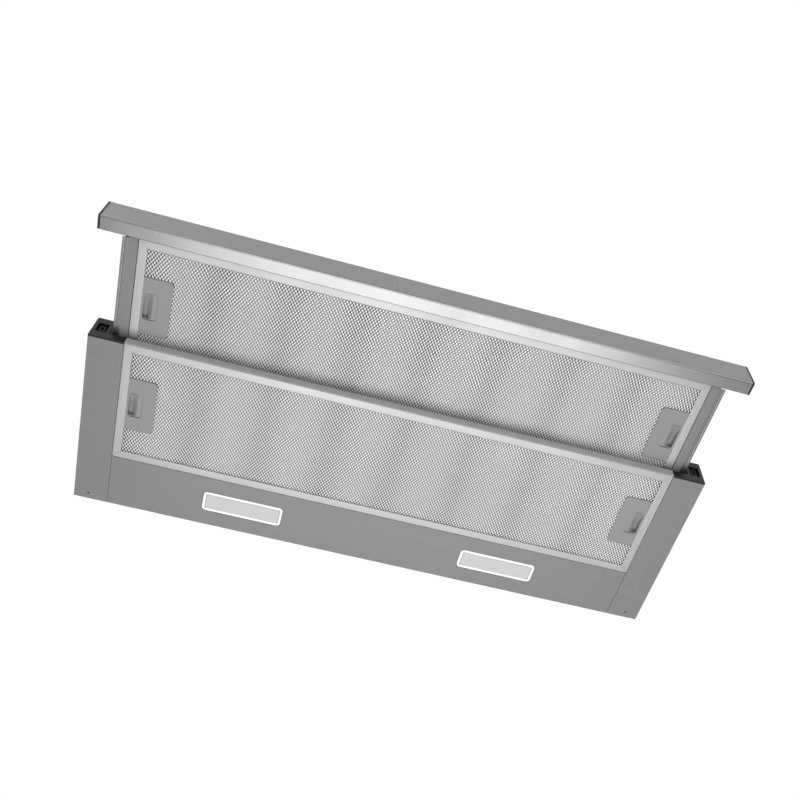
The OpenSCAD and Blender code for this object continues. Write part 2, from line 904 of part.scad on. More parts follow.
module bar_cap() {
    inner_t = bar_t - 2 * bar_wall - 2 * bar_plug_play;
    inner_h = bar_h - 2 * bar_wall - 2 * bar_plug_play;
    translate([0, bar_mid_y, bar_mid_z]) {
        along_x(half_w, half_w + bar_cap_t) rounded(bar_t, bar_h, bar_r);
        along_x(half_w - bar_plug_l, half_w) difference() {
            rounded(inner_t, inner_h, bar_r / 2);
            rounded(inner_t - 2 * bar_cap_t, inner_h - 2 * bar_cap_t, bar_r / 2);
        }
    }
}

module bar_cap_left() {
    color(black) placed() left() bar_cap();
}

module bar_cap_right() {
    color(black) placed() bar_cap();
}

// Tray: side channels around the filter, arms that carry the slides, cover, front wall and cross member
module tray_frame() {
    lip_x = sill_x + filter_play / 2;
    color(painted) placed() difference() {
        union() {
            both() {
                slab(lip_x, tray_x, bar_back, cross_y + cross_d, tray_z, tray_z + sheet);
                slab(lip_x, lip_x + sheet, bar_back, cross_y + cross_d, tray_z, tray_z + tray_lip_h);
                along_x(tray_x - sheet, tray_x) polygon([
                    [bar_back, tray_z], [cross_y + cross_d, tray_z],
                    [cross_y + cross_d + tray_lip_h, slide_z - inner_face], [arm_rear, slide_z - inner_face],
                    [arm_rear, slide_z + inner_face], [cross_y + cross_d, slide_z + inner_face],
                    [tray_cover_y + cross_d, tray_top], [bar_back, tray_top]]);
                slab(tray_x - switch_tab_w, tray_x, arm_rear - sheet, arm_rear,
                    slide_z - inner_face, slide_z + inner_face);
            }
            slab(-tray_x, tray_x, bar_back, bar_back + sheet, tray_z, tray_top);
            slab(-tray_x, tray_x, bar_back, tray_cover_y, tray_top - sheet, tray_top);
            slab(-lip_x, lip_x, cross_y, cross_y + cross_d, tray_z, tray_z + sheet);
            slab(-lip_x, lip_x, cross_y, cross_y + sheet, tray_z, tray_z + tray_lip_h);
        }
        both() {
            catch_slot(tray_filter_y, tray_z, lip_x);
            for (y = [rail_front - travel + slide_hole_inset, arm_rear - slide_hole_inset]) {
                translate([tray_x + over, y, slide_z]) rotate([0, -90, 0])
                    cylinder(r = slide_hole_r, h = sheet + 2 * over);
            }
        }
    }
}

// Scroll outline about the shaft: three quarter turns that grow, the closing arc and the outlet channel
module scroll_outline(grow) {
    g = scroll_step;
    r = scroll_r + grow;
    circle(r);
    translate([g, 0]) rotate(180) intersection() {
        circle(r + g);
        square(r + g);
    }
    translate([g, g]) rotate(270) intersection() {
        circle(r + 2 * g);
        square(r + 2 * g);
    }
    translate([channel_in - grow, 0]) square([channel_out - channel_in + 2 * grow, plenum_z - fan_z]);
}

// Half of the twin blower: a thin scroll, its inlet ring outside and a motor hole inside
module scroll() {
    translate([scroll_x, fan_y, fan_z]) {
        difference() {
            along_x(0, scroll_w) scroll_outline(scroll_wall);
            along_x(scroll_wall, scroll_w - scroll_wall) {
                scroll_outline(0);
                translate([channel_in, 0]) square([channel_out - channel_in, plenum_z - fan_z + over]);
            }
            rotate([0, 90, 0]) translate([0, 0, scroll_w / 2]) cylinder(r = inlet_r, h = scroll_w);
            rotate([0, 90, 0]) translate([0, 0, -over]) cylinder(r = motor_boss + seam, h = scroll_w / 2);
        }
        rotate([0, 90, 0]) translate([0, 0, scroll_w]) rotate_extrude() intersection() {
            translate([inlet_r + inlet_bell, 0]) circle(inlet_bell);
            translate([inlet_r, 0]) square([2 * inlet_bell, inlet_bell]);
        }
    }
}

module scroll_left() {
    color(zinc) placed() left() scroll();
}

module scroll_right() {
    color(zinc) placed() scroll();
}

// Sheet box that joins both scroll outlets to the outlet collar
module plenum() {
    low = collar_y - duct_r;
    high = collar_y + duct_r;
    color(zinc) placed() difference() {
        slab(-plenum_x, plenum_x, low, high, plenum_z, housing_in);
        slab(-plenum_x + sheet, plenum_x - sheet, low + sheet, high - sheet, plenum_z + sheet, housing_in + over);
        both() slab(scroll_x + scroll_wall, scroll_x + scroll_w - scroll_wall,
            fan_y + channel_in, fan_y + channel_out, plenum_z - over, plenum_z + 2 * sheet);
    }
}

// Motor between the scrolls: stator, stepped end bells, shaft bosses and the two mounting discs
module motor() {
    half = motor_length / 2;
    r = motor_d / 2;
    bore = shaft_r + shaft_play;
    color(zinc) placed() translate([0, fan_y, fan_z]) rotate([0, 90, 0]) difference() {
        rotate_extrude() polygon([
            [bore, -half], [motor_foot_r - motor_bell, -half], [motor_foot_r - motor_bell, motor_foot - half],
            [motor_boss, motor_foot - half], [motor_boss, motor_bell - half], [r - motor_bell, motor_bell - half],
            [r - motor_foot, 2 * motor_bell - half], [r, 2 * motor_bell - half],
            [r, half - 2 * motor_bell], [r - motor_foot, half - 2 * motor_bell],
            [r - motor_bell, half - motor_bell], [motor_boss, half - motor_bell],
            [motor_boss, half - motor_foot], [motor_foot_r - motor_bell, half - motor_foot],
            [motor_foot_r - motor_bell, half], [bore, half]]);
        for (k = [0 : vent_count - 1], s = [0, 1]) {
            rotate(k * 360 / vent_count) mirror([0, 0, s])
                translate([r - motor_bell, -vent_w / 2, motor_bell - half - over])
                    cube([motor_bell / 2, vent_w, motor_bell]);
        }
    }
}

// Shaft with a fan wheel on each end
module fan_shaft() {
    length = scroll_x + scroll_wall + wheel_gap + hub_l;
    color(zinc) placed() translate([-length, fan_y, fan_z]) rotate([0, 90, 0]) cylinder(r = shaft_r, h = 2 * length);
}

// Forward curved fan wheel: hub, disc, blades bent to an arc, and end ring
module fan_wheel() {
    translate([scroll_x + scroll_wall + wheel_gap, fan_y, fan_z]) rotate([0, 90, 0]) {
        difference() {
            union() {
                cylinder(r = fan_r, h = wheel_disc);
                cylinder(r = hub_r, h = hub_l);
            }
            translate([0, 0, -over]) cylinder(r = shaft_r, h = hub_l + 2 * over);
        }
        for (k = [0 : blade_count - 1]) {
            rotate(k * 360 / blade_count) translate([0, 0, wheel_disc]) linear_extrude(fan_w - wheel_disc)
                intersection() {
                    difference() {
                        circle(fan_r);
                        circle(fan_r - blade_depth);
                    }
                    translate([fan_r - blade_sink, -blade_arc]) difference() {
                        circle(blade_arc + blade_t / 2);
                        circle(blade_arc - blade_t / 2);
                    }
                    translate([0, -blade_arc]) square([fan_r, 2 * blade_arc]);
                }
        }
        translate([0, 0, fan_w - wheel_ring]) difference() {
            cylinder(r = fan_r + wheel_rim, h = wheel_ring);
            translate([0, 0, -over]) cylinder(r = fan_r - wheel_rim, h = wheel_ring + 2 * over);
        }
    }
}

module fan_wheel_left() {
    color(zinc) placed() left() fan_wheel();
}

module fan_wheel_right() {
    color(zinc) placed() fan_wheel();
}

// Run capacitor, held by its stud under the housing's top
module capacitor() {
    color(bright) placed() translate([capacitor_x, capacitor_y, housing_in - capacitor_l]) rotate_extrude() polygon([
        [0, 0], [capacitor_r - control_r, 0], [capacitor_r, control_r],
        [capacitor_r, capacitor_l - 2 * control_r], [capacitor_r / 2, capacitor_l - control_r],
        [capacitor_r / 2, capacitor_l], [0, capacitor_l]]);
}

// Terminal box under the cable inlet
module terminal_box() {
    color(black) placed() translate([terminal_x, terminal_y, housing_in - terminal_h]) difference() {
        linear_extrude(terminal_h) rounded(terminal_w, terminal_d, control_r);
        translate([0, 0, box_wall]) linear_extrude(terminal_h)
            rounded(terminal_w - 2 * box_wall, terminal_d - 2 * box_wall, control_r / 2);
    }
}

// Cable gland in the housing's top
module cable_gland() {
    color(black) placed() translate([terminal_x, terminal_y, 0]) difference() {
        union() {
            translate([0, 0, housing_in - gland_in]) cylinder(r = gland_neck_r - seam, h = gland_in + sheet);
            translate([0, 0, housing_h]) cylinder(r = gland_r, h = gland_nut_h, $fn = 6);
            translate([0, 0, housing_h + gland_nut_h]) cylinder(r = gland_neck_r, h = gland_h - gland_nut_h);
        }
        translate([0, 0, housing_in - gland_in - over])
            cylinder(r = gland_bore, h = gland_in + sheet + gland_h + 2 * over);
    }
}

// Outlet collar: flange, tube with a lead-in edge, and the inner rest that the flaps close on
module outlet_collar() {
    seat = collar_in - seam / 2;
    color(black) placed() translate([0, collar_y, 0]) difference() {
        rotate_extrude() polygon([
            [collar_in - collar_rest, housing_h], [duct_r + collar_flange, housing_h],
            [duct_r + collar_flange, housing_h + collar_wall], [duct_r, housing_h + collar_wall],
            [duct_r, housing_h + collar_h - collar_lead], [duct_r - collar_wall / 2, housing_h + collar_h],
            [collar_in, housing_h + collar_h], [collar_in, flap_z - flap_t],
            [collar_in - collar_rest, flap_z - flap_t], [collar_in - collar_rest, flap_z - flap_t - collar_rest_t],
            [collar_in, flap_z - flap_t - collar_rest_t - collar_rest],
            [collar_in, housing_h + collar_wall], [collar_in - collar_rest, housing_h + collar_wall]]);
        for (k = [0 : 3]) {
            rotate(45 + k * 90) translate([duct_r + collar_flange / 2, 0, housing_h - over])
                cylinder(r = collar_screw_r, h = collar_wall + 2 * over);
        }
        // Seat of the rod in the ring that the flaps rest on
        translate([-seat, 0, flap_z]) rotate([0, 90, 0]) cylinder(r = rod_r + rod_play, h = 2 * seat);
    }
    // Bosses inside the tube that hold the rod, so that the tube itself stays closed
    color(black) placed() translate([0, collar_y, flap_z]) both() rotate([0, 90, 0]) difference() {
        translate([0, 0, collar_in - rod_boss_l]) cylinder(r = knuckle_r, h = rod_boss_l + collar_wall / 2);
        cylinder(r = rod_r + rod_play, h = seat);
    }
}

// Rod across the collar that both flaps hang on
module flap_rod() {
    length = collar_in - seam;
    color(zinc) placed() translate([-length, collar_y, flap_z]) rotate([0, 90, 0])
        cylinder(r = rod_r, h = 2 * length);
}

// Half round flap with two knuckles on the rod
module flap() {
    difference() {
        union() {
            translate([0, 0, -flap_t / 2]) linear_extrude(flap_t) {
                intersection() {
                    circle(flap_r);
                    translate([-flap_r, flap_edge]) square([2 * flap_r, flap_r]);
                }
                for (x = [-knuckle_far, knuckle_near]) {
                    translate([x - knuckle_l / 2, 0]) square([knuckle_l, 2 * flap_edge]);
                }
            }
            for (x = [-knuckle_far, knuckle_near]) {
                translate([x - knuckle_l / 2, 0, 0]) rotate([0, 90, 0]) cylinder(r = knuckle_r, h = knuckle_l);
            }
        }
        translate([-duct_r, 0, 0]) rotate([0, 90, 0]) cylinder(r = rod_r + rod_play, h = duct_d);
    }
}

module flap_rear() {
    color(black) placed() translate([0, collar_y, flap_z]) flap();
}

module flap_front() {
    color(black) placed() translate([0, collar_y, flap_z]) rotate(180) flap();
}

// Switch that the closed tray meets, on the housing's rear wall
module tray_switch() {
    plunger = wall_back - sheet - rail_rear - switch_play;
    color(black) placed() translate([tray_x - switch_tab_w, 0, switch_z]) {
        slab(0, switch_w, wall_back - sheet - switch_d, wall_back - sheet, 0, switch_h);
        slab(switch_w / 2 - control_r, switch_w / 2 + control_r, wall_back - sheet - plunger,
            wall_back - sheet - switch_d, switch_h / 2 - control_r, switch_h / 2 + control_r);
    }
}

// Control strip on the tray's cover, behind the bar, with a slot for each slider
module control_strip() {
    mid_x = control_x - control_w / 2;
    mid_y = bar_back + control_d / 2;
    color(black) placed() translate([0, mid_y, tray_top]) difference() {
        translate([mid_x, 0, 0]) linear_extrude(control_h) rounded(control_w, control_d, control_r);
        translate([mid_x, 0, -over]) linear_extrude(control_h - control_wall + over)
            rounded(control_w - 2 * control_wall, control_d - 2 * control_wall, control_r / 2);
        slider_slot(speed_x, speed_travel);
        slider_slot(light_x, light_travel);
    }
}

// Slot long enough for a stem and its travel
module slider_slot(x, length) {
    slab(x - stem_w / 2 - control_play, x + length + stem_w / 2 + control_play,
        -stem_d / 2 - control_play, stem_d / 2 + control_play, 0, control_h + over);
}

// Slider: ribbed knob, stem through the slot and a foot that holds it in
module slider(x) {
    foot_top = control_h - control_wall - control_play;
    color(black) placed() translate([x, bar_back + control_d / 2, tray_top]) {
        translate([0, 0, control_h + knob_lift]) linear_extrude(knob_h - knob_rib_h)
            rounded(knob_w, knob_d, control_r);
        for (k = [0 : knob_ribs - 1]) {
            translate([(k - (knob_ribs - 1) / 2) * knob_w / (knob_ribs + 1), 0, control_h + knob_lift + knob_h - knob_rib_h])
                slab(-knob_rib_w / 2, knob_rib_w / 2, -knob_d / 3, knob_d / 3, 0, knob_rib_h);
        }
        slab(-stem_w / 2, stem_w / 2, -stem_d / 2, stem_d / 2, foot_top - foot_h, control_h + knob_lift);
        slab(-foot_w / 2, foot_w / 2, -foot_d / 2, foot_d / 2, foot_top - foot_h, foot_top);
    }
}

module speed_slider() {
    slider(speed_x);
}

module light_slider() {
    slider(light_x);
}

upper_housing();
housing_side_left();
housing_side_right();
side_box_left();
side_box_right();
end_cap_left();
end_cap_right();
front_sill();
light_panel();
lamp_bezel_left();
lamp_bezel_right();
lamp_lens_left();
lamp_lens_right();
lamp_body_left();
lamp_body_right();
lamp_board_left();
lamp_board_right();
led_driver();
body_filter_frame();
body_filter_mesh();
body_latch_left();
body_latch_right();
body_latch_springs();
rail_outer_left();
rail_outer_right();
scroll_left();
scroll_right();
plenum();
motor();
capacitor();
terminal_box();
cable_gland();
outlet_collar();
flap_rod();
tray_switch();
front_bar();
bar_cap_left();
bar_cap_right();
tray_frame();
rail_inner_left();
rail_inner_right();
tray_filter_frame();
tray_filter_mesh();
tray_latch_left();
tray_latch_right();
tray_latch_springs();
control_strip();
ball_cage_left();
ball_cage_right();
tray_catch_left();
tray_catch_right();
body_catch_left();
body_catch_right();
flap_rear();
flap_front();
speed_slider();
light_slider();
fan_shaft();
fan_wheel_left();
fan_wheel_right();
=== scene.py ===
"""Pull out range hood: the finished look of its pieces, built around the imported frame."""

import json
import math

import bmesh
import bpy
from mathutils import Matrix, Vector

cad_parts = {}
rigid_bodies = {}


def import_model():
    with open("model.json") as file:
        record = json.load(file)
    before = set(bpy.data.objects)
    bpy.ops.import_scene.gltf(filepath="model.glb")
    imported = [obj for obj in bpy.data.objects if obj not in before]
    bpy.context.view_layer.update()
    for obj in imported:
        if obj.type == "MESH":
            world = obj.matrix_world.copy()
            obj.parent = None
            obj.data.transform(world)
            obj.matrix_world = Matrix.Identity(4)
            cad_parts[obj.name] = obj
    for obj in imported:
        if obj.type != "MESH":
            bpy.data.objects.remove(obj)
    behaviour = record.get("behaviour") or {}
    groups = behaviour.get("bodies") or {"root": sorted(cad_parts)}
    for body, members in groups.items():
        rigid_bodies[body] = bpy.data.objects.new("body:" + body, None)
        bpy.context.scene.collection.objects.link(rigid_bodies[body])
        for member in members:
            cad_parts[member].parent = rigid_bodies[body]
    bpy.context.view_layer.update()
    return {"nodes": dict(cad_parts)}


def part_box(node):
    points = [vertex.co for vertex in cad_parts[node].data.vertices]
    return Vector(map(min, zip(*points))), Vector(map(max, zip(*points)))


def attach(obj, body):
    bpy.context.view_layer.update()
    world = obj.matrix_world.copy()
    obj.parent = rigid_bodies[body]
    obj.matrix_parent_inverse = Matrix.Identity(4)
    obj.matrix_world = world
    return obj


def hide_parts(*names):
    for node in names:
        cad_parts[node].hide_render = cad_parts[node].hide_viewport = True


bl_info = {
    "name": "Pull Out Range Hood",
    "version": (1, 0, 0),
    "blender": (4, 5, 0),
    "location": "View3D > Sidebar > Range Hood",
    "description": "Builds the finished look of a pull out range hood around its packed frame",
    "category": "Object",
}

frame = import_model()

MM = 0.001
SIDES = ("left", "right")
# Each filter with the body that it is in
FILTERS = (("tray", "tray"), ("body", "hood_body"))
# An edge past SHARP, in degrees, is kept sharp or rounded, and one past SQUARE, in radians, is a square corner
SHARP = 40
SQUARE = 1.2


def box_mm(node):
    """Lowest and highest corners of a node, in millimetres."""
    low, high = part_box(node)
    return low / MM, high / MM


# Sizes and colours that a user would change


class HoodSizes(bpy.types.PropertyGroup):
    """Sizes of the finished details"""

    fold: bpy.props.FloatProperty(
        name="Fold radius", description="Rounding of the folded sheet edges", default=0.00035,
        min=0.0001, max=0.00048, precision=5, unit="LENGTH")
    bar_fold: bpy.props.FloatProperty(
        name="Bar fold radius", description="Rounding along the front bar's long edges", default=0.0015,
        min=0.0005, max=0.003, precision=4, unit="LENGTH")
    mitre: bpy.props.FloatProperty(
        name="Mitre groove", description="Width of the groove where two sides of a filter border meet",
        default=0.0005, min=0.0002, max=0.001, precision=4, unit="LENGTH")
    diamond_columns: bpy.props.IntProperty(
        name="Diamonds across", description="Diamonds of the mesh along a filter", default=172, min=60, max=200)
    diamond_rows: bpy.props.IntProperty(
        name="Rows of diamonds", description="Pairs of diamond rows over a filter's depth", default=24,
        min=12, max=32)
    strand: bpy.props.FloatProperty(
        name="Strand width", description="Width of one strand of the mesh, front to back", default=0.0016,
        min=0.0008, max=0.0026, precision=5, unit="LENGTH")


class HoodColours(bpy.types.PropertyGroup):
    """Colours of the finishes, as linear values"""

    paint: bpy.props.FloatVectorProperty(
        name="Paint", description="Grey paint of the body and tray", default=(0.152, 0.152, 0.152),
        subtype="COLOR", min=0, max=1, size=3)
    latch: bpy.props.FloatVectorProperty(
        name="Latches", description="Grey paint of the latch plates", default=(0.189, 0.189, 0.189),
        subtype="COLOR", min=0, max=1, size=3)
    steel: bpy.props.FloatVectorProperty(
        name="Brushed steel", description="Front bar", default=(0.235, 0.235, 0.235),
        subtype="COLOR", min=0, max=1, size=3)
    aluminium: bpy.props.FloatVectorProperty(
        name="Aluminium", description="Filter borders", default=(0.335, 0.335, 0.335),
        subtype="COLOR", min=0, max=1, size=3)
    mesh: bpy.props.FloatVectorProperty(
        name="Mesh", description="Expanded aluminium mesh", default=(0.9, 0.9, 0.9),
        subtype="COLOR", min=0, max=1, size=3)
    moulding: bpy.props.FloatVectorProperty(
        name="Black mouldings", description="End caps and switch gear", default=(0.012, 0.012, 0.012),
        subtype="COLOR", min=0, max=1, size=3)
    lens: bpy.props.FloatVectorProperty(
        name="Lens", description="Frosted lamp lenses", default=(0.535, 0.535, 0.535),
        subtype="COLOR", min=0, max=1, size=3)
    zinc: bpy.props.FloatVectorProperty(
        name="Zinc", description="Galvanised sheet of the housing", default=(0.50, 0.51, 0.52),
        subtype="COLOR", min=0, max=1, size=3)


class HoodStage(bpy.types.PropertyGroup):
    """Floor, lamps and camera"""

    floor_drop: bpy.props.FloatProperty(
        name="Floor drop", description="Depth of the floor below the hood", default=1.6, min=1.4, max=2.4,
        unit="LENGTH")
    sky: bpy.props.FloatProperty(
        name="Room light", description="Light that the room gives from all sides", default=0.7, min=0, max=2)
    under: bpy.props.FloatProperty(
        name="Under light", description="Power of the soft lamp under the hood, in watts", default=22.0,
        min=0, max=60)
    focal: bpy.props.FloatProperty(
        name="Focal length", description="Camera focal length on a 36 mm sensor", default=45.68, min=20, max=90)


# Modelling with Blender's own tools. Operators' own sizes below are in millimetres


def choose(*pieces):
    """Leaves only these objects selected, and makes the last one active."""
    if bpy.context.mode != "OBJECT":
        bpy.ops.object.mode_set(mode="OBJECT")
    bpy.ops.object.select_all(action="DESELECT")
    for piece in pieces:
        piece.select_set(True)
        bpy.context.view_layer.objects.active = piece


def settle(name):
    """Names the active object and puts its place into its mesh."""
    bpy.ops.object.transform_apply(location=True, rotation=True, scale=True)
    piece = bpy.context.object
    piece.name = piece.data.name = name
    return piece


def block(name, low, high):
    """Cube stretched between two corners given in millimetres."""
    choose()
    bpy.ops.mesh.primitive_cube_add(size=1, location=[(a + b) / 2 * MM for a, b in zip(low, high)])
    bpy.ops.transform.resize(value=[(b - a) * MM for a, b in zip(low, high)])
    return settle(name)


def plate(name, x0, x1, y0, y1, z):
    """Flat plate that faces down, between two corners given in millimetres."""
    choose()
    bpy.ops.mesh.primitive_plane_add(size=1, location=((x0 + x1) / 2 * MM, (y0 + y1) / 2 * MM, z * MM))
    bpy.ops.transform.resize(value=((x1 - x0) * MM, (y1 - y0) * MM, 1))
    piece = settle(name)
    shape(piece)
    take_all()
    bpy.ops.mesh.flip_normals()
    return piece


def shape(piece):
    """Opens a piece in edit mode with nothing selected."""
    choose(piece)
    bpy.ops.object.mode_set(mode="EDIT")
    bpy.ops.mesh.select_all(action="DESELECT")


def take_all():
    """Selects everything of the piece in edit mode."""
    bpy.ops.mesh.select_all(action="SELECT")


def erase(kind="FACE"):
    """Deletes what is selected."""
    bpy.ops.mesh.delete(type=kind)


def bevel(offset, segments, affect="EDGES"):
    """Rounds the selected edges or corners, by a width in metres."""
    bpy.ops.mesh.bevel(offset=offset, segments=segments, affect=affect)


def inset(thickness):
    """Draws the selected faces in from their outline, in metres."""
    bpy.ops.mesh.inset(thickness=thickness)


def along(edge, axis):
    """Length of an edge along one axis, in metres."""
    return abs(getattr(edge.verts[0].co - edge.verts[1].co, axis))


def pick(piece, kind, test):
    """Selects the vertices, edges or faces whose middle, in millimetres, passes the test, and counts them."""
    bpy.ops.mesh.select_mode(type=kind)
    bpy.ops.mesh.select_all(action="DESELECT")
    mesh = bmesh.from_edit_mesh(piece.data)
    count = 0
    for item in {"VERT": mesh.verts, "EDGE": mesh.edges, "FACE": mesh.faces}[kind]:
        if kind == "VERT":
            place = item.co / MM
        else:
            place = sum((v.co for v in item.verts), Vector()) / len(item.verts) / MM
        if test(place, item):
            item.select_set(True)
            count += 1
    mesh.select_flush_mode()
    bmesh.update_edit_mesh(piece.data)
    if not count:
        raise RuntimeError(f"nothing to pick on {piece.name}")
    return count


def move(x=0.0, y=0.0, z=0.0):
    """Moves the selection, in millimetres."""
    bpy.ops.transform.translate(value=(x * MM, y * MM, z * MM))


def extrude(x=0.0, y=0.0, z=0.0):
    """Extrudes the selected faces together, in millimetres."""
    bpy.ops.mesh.extrude_region_move(TRANSFORM_OT_translate={"value": (x * MM, y * MM, z * MM)})


def extrude_rim(x=0.0, y=0.0, z=0.0):
    """Extrudes the selected open edges, in millimetres."""
    bpy.ops.mesh.extrude_edges_move(TRANSFORM_OT_translate={"value": (x * MM, y * MM, z * MM)})


def cut(axis, place):
    """Cuts what is selected by a plane across one axis, at a place in millimetres."""
    at = [0, 0, 0]
    at["xyz".index(axis)] = place * MM
    facing = [0, 0, 0]
    facing["xyz".index(axis)] = 1
    bpy.ops.mesh.bisect(plane_co=at, plane_no=facing)


def cut_all(axis, *places):
    """Cuts the whole piece at each place, in millimetres."""
    for place in places:
        take_all()
        cut(axis, place)


def modify(piece, kind, **values):
    """Adds one modifier, sets it and applies it."""
    choose(piece)
    bpy.ops.object.modifier_add(type=kind)
    modifier = piece.modifiers[-1]
    for name, value in values.items():
        setattr(modifier, name, value)
    bpy.ops.object.modifier_apply(modifier=modifier.name)


def soften(piece, angle=SHARP):
    """Shades round edges smooth and keeps flat faces flat."""
    choose(piece)
    bpy.ops.object.shade_smooth_by_angle(angle=math.radians(angle))
    modify(piece, "WEIGHTED_NORMAL", keep_sharp=True)


def round_edges(piece, width):
    """Rounds every sharp edge of a piece, by a width in metres."""
    modify(piece, "BEVEL", width=width, segments=2, limit_method="ANGLE",
           angle_limit=math.radians(SHARP), use_clamp_overlap=True, miter_outer="MITER_SHARP")
    soften(piece)


def thicken(piece, thickness):
    """Gives a folded skin its thickness, in millimetres, on the side away from its faces."""
    modify(piece, "SOLIDIFY", thickness=thickness * MM, offset=-1, use_even_offset=False)


def signed_volume(piece):
    """Volume whose sign tells which way the faces point."""
    mesh = bmesh.new()
    mesh.from_mesh(piece.data)
    volume = mesh.calc_volume(signed=True)
    mesh.free()
    return volume


def twin(piece, angle=SHARP):
    """Copies a right piece to the left side, with its own mesh, faces outward and own shading."""
    before = signed_volume(piece)
    choose(piece)
    bpy.ops.object.duplicate()
    copy = bpy.context.object
    copy.scale = (-1, 1, 1)
    copy = settle(piece.name.replace("right", "left"))
    if signed_volume(copy) * before < 0:
        shape(copy)
        take_all()
        bpy.ops.mesh.flip_normals()
    soften(copy, angle)
    return copy


def repeat(piece, name, x=0.0, y=0.0, z=0.0):
    """Copies a piece to another place, in millimetres, with its own mesh."""
    choose(piece)
    bpy.ops.object.duplicate()
    bpy.context.object.location = (x * MM, y * MM, z * MM)
    return settle(name)


def joined(name, *pieces):
    """Joins several meshes into one piece."""
    choose(*pieces)
    bpy.ops.object.join()
    return settle(name)


def pressed(node, name, width):
    """Copy of a sheet metal node, merged, with its edges rounded as a press leaves them."""
    source = frame["nodes"][node]
    choose(source)
    bpy.ops.object.duplicate()
    bpy.ops.object.parent_clear(type="CLEAR_KEEP_TRANSFORM")
    piece = bpy.context.object
    for key in list(piece.keys()):
        del piece[key]
    piece.data.materials.clear()
    piece = settle(name)
    shape(piece)
    take_all()
    bpy.ops.mesh.remove_doubles(threshold=0.000002)
    bpy.ops.mesh.dissolve_limited(angle_limit=math.radians(1))
    round_edges(piece, width)
    return piece


def finish_piece(piece, body, coat, slot, *nodes):
    """Gives a piece its finish and its body, and lets it stand for the nodes that it replaces."""
    choose()
    piece.data.materials.clear()
    piece.data.materials.append(FINISHES[coat])
    if nodes:
        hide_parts(*nodes)
    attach(piece, body)


def finish_both(right, body, coat, slot, node, angle=SHARP):
    """Makes the left piece from the right one, and finishes both."""
    for side, piece in (("right", right), ("left", twin(right, angle))):
        finish_piece(piece, body, coat, slot, f"{node}_{side}")


def press_sheet(node, name, body, coat, slot, fold=None):
    """Replaces a folded sheet by its pressed copy."""
    piece = pressed(node, name, fold or bpy.context.scene.hood_sizes.fold)
    finish_piece(piece, body, coat, slot, node)


def dress(coat, *nodes):
    """Gives solids that keep their shape a new finish."""
    for node in nodes:
        frame["nodes"][node].data.materials.clear()
        frame["nodes"][node].data.materials.append(FINISHES[coat])


# Finishes


# Height of the finest grain, in metres
RELIEF = 0.00004
SURFACE_INPUTS = (
    ("Colour", "NodeSocketColor", (0.5, 0.5, 0.5, 1)),
    ("Roughness", "NodeSocketFloat", 0.5),
    ("Grain", "NodeSocketFloat", 900.0),
    ("Depth", "NodeSocketFloat", 1.0),
)
SURFACE_OUTPUTS = (
    ("Colour", "NodeSocketColor"),
    ("Roughness", "NodeSocketFloat"),
    ("Height", "NodeSocketFloat"),
)


def link(tree, source, target):
    """Joins an output socket to an input socket."""
    tree.links.new(source, target)


def feed(tree, node, **values):
    """Sets a node's inputs, each to a number or to an output socket."""
    for label, value in values.items():
        socket = node.inputs[label.replace("_", " ")]
        if isinstance(value, (int, float)):
            socket.default_value = value
        else:
            link(tree, value, socket)


def group_of(name):
    """New shader group with its sockets, its two end nodes and its object coordinates."""
    group = bpy.data.node_groups.new(name, "ShaderNodeTree")
    for label, kind, value in SURFACE_INPUTS:
        socket = group.interface.new_socket(label, in_out="INPUT", socket_type=kind)
        socket.default_value = value
    for label, kind in SURFACE_OUTPUTS:
        group.interface.new_socket(label, in_out="OUTPUT", socket_type=kind)
    entry = group.nodes.new("NodeGroupInput")
    end = group.nodes.new("NodeGroupOutput")
    place = group.nodes.new("ShaderNodeTexCoord")
    return group, entry, end, place.outputs["Object"]


def noise(tree, vector, scale, detail=3.0, roughness=0.5):
    """Noise on given coordinates."""
    node = tree.nodes.new("ShaderNodeTexNoise")
    feed(tree, node, Vector=vector, Scale=scale, Detail=detail, Roughness=roughness)
    return node.outputs["Fac"]


def spread(tree, value, low, high, start=0.3, end=0.7):
    """Maps the useful middle of a noise to a range."""
    node = tree.nodes.new("ShaderNodeMapRange")
    feed(tree, node, Value=value, From_Min=start, From_Max=end, To_Min=low, To_Max=high)
    return node.outputs["Result"]


def maths(tree, operation, first, second):
    """One sum of two sockets or numbers."""
    node = tree.nodes.new("ShaderNodeMath")
    node.operation = operation
    for socket, value in zip(node.inputs, (first, second)):
        if isinstance(value, (int, float)):
            socket.default_value = value
        else:
            link(tree, value, socket)
    return node.outputs[0]


def toned(tree, colour, share):
    """A colour multiplied by a tone."""
    node = tree.nodes.new("ShaderNodeVectorMath")
    node.operation = "SCALE"
    link(tree, colour, node.inputs[0])
    link(tree, share, node.inputs["Scale"])
    return node.outputs["Vector"]


def put_out(group, entry, end, tone, shift, height):
    """Feeds a group's outputs: the toned colour, the shifted roughness and the scaled height."""
    feed(group, end, Colour=toned(group, entry.outputs["Colour"], tone),
         Roughness=maths(group, "ADD", entry.outputs["Roughness"], shift),
         Height=maths(group, "MULTIPLY", height, entry.outputs["Depth"]))
    return group


def stippled_coat():
    """Fine stipple of powder paint or moulded plastic, with a slow drift of tone and faint wipe marks."""
    group, entry, end, place = group_of("stippled_coat")
    grain = noise(group, place, entry.outputs["Grain"], 2.0)
    drift = spread(group, noise(group, place, 5.0, 2.0), 0.985, 1.015)
    fleck = spread(group, grain, 0.975, 1.025)
    wipe = spread(group, noise(group, place, 22.0, 4.0), -0.05, 0.06)
    return put_out(group, entry, end, maths(group, "MULTIPLY", drift, fleck), wipe, grain)


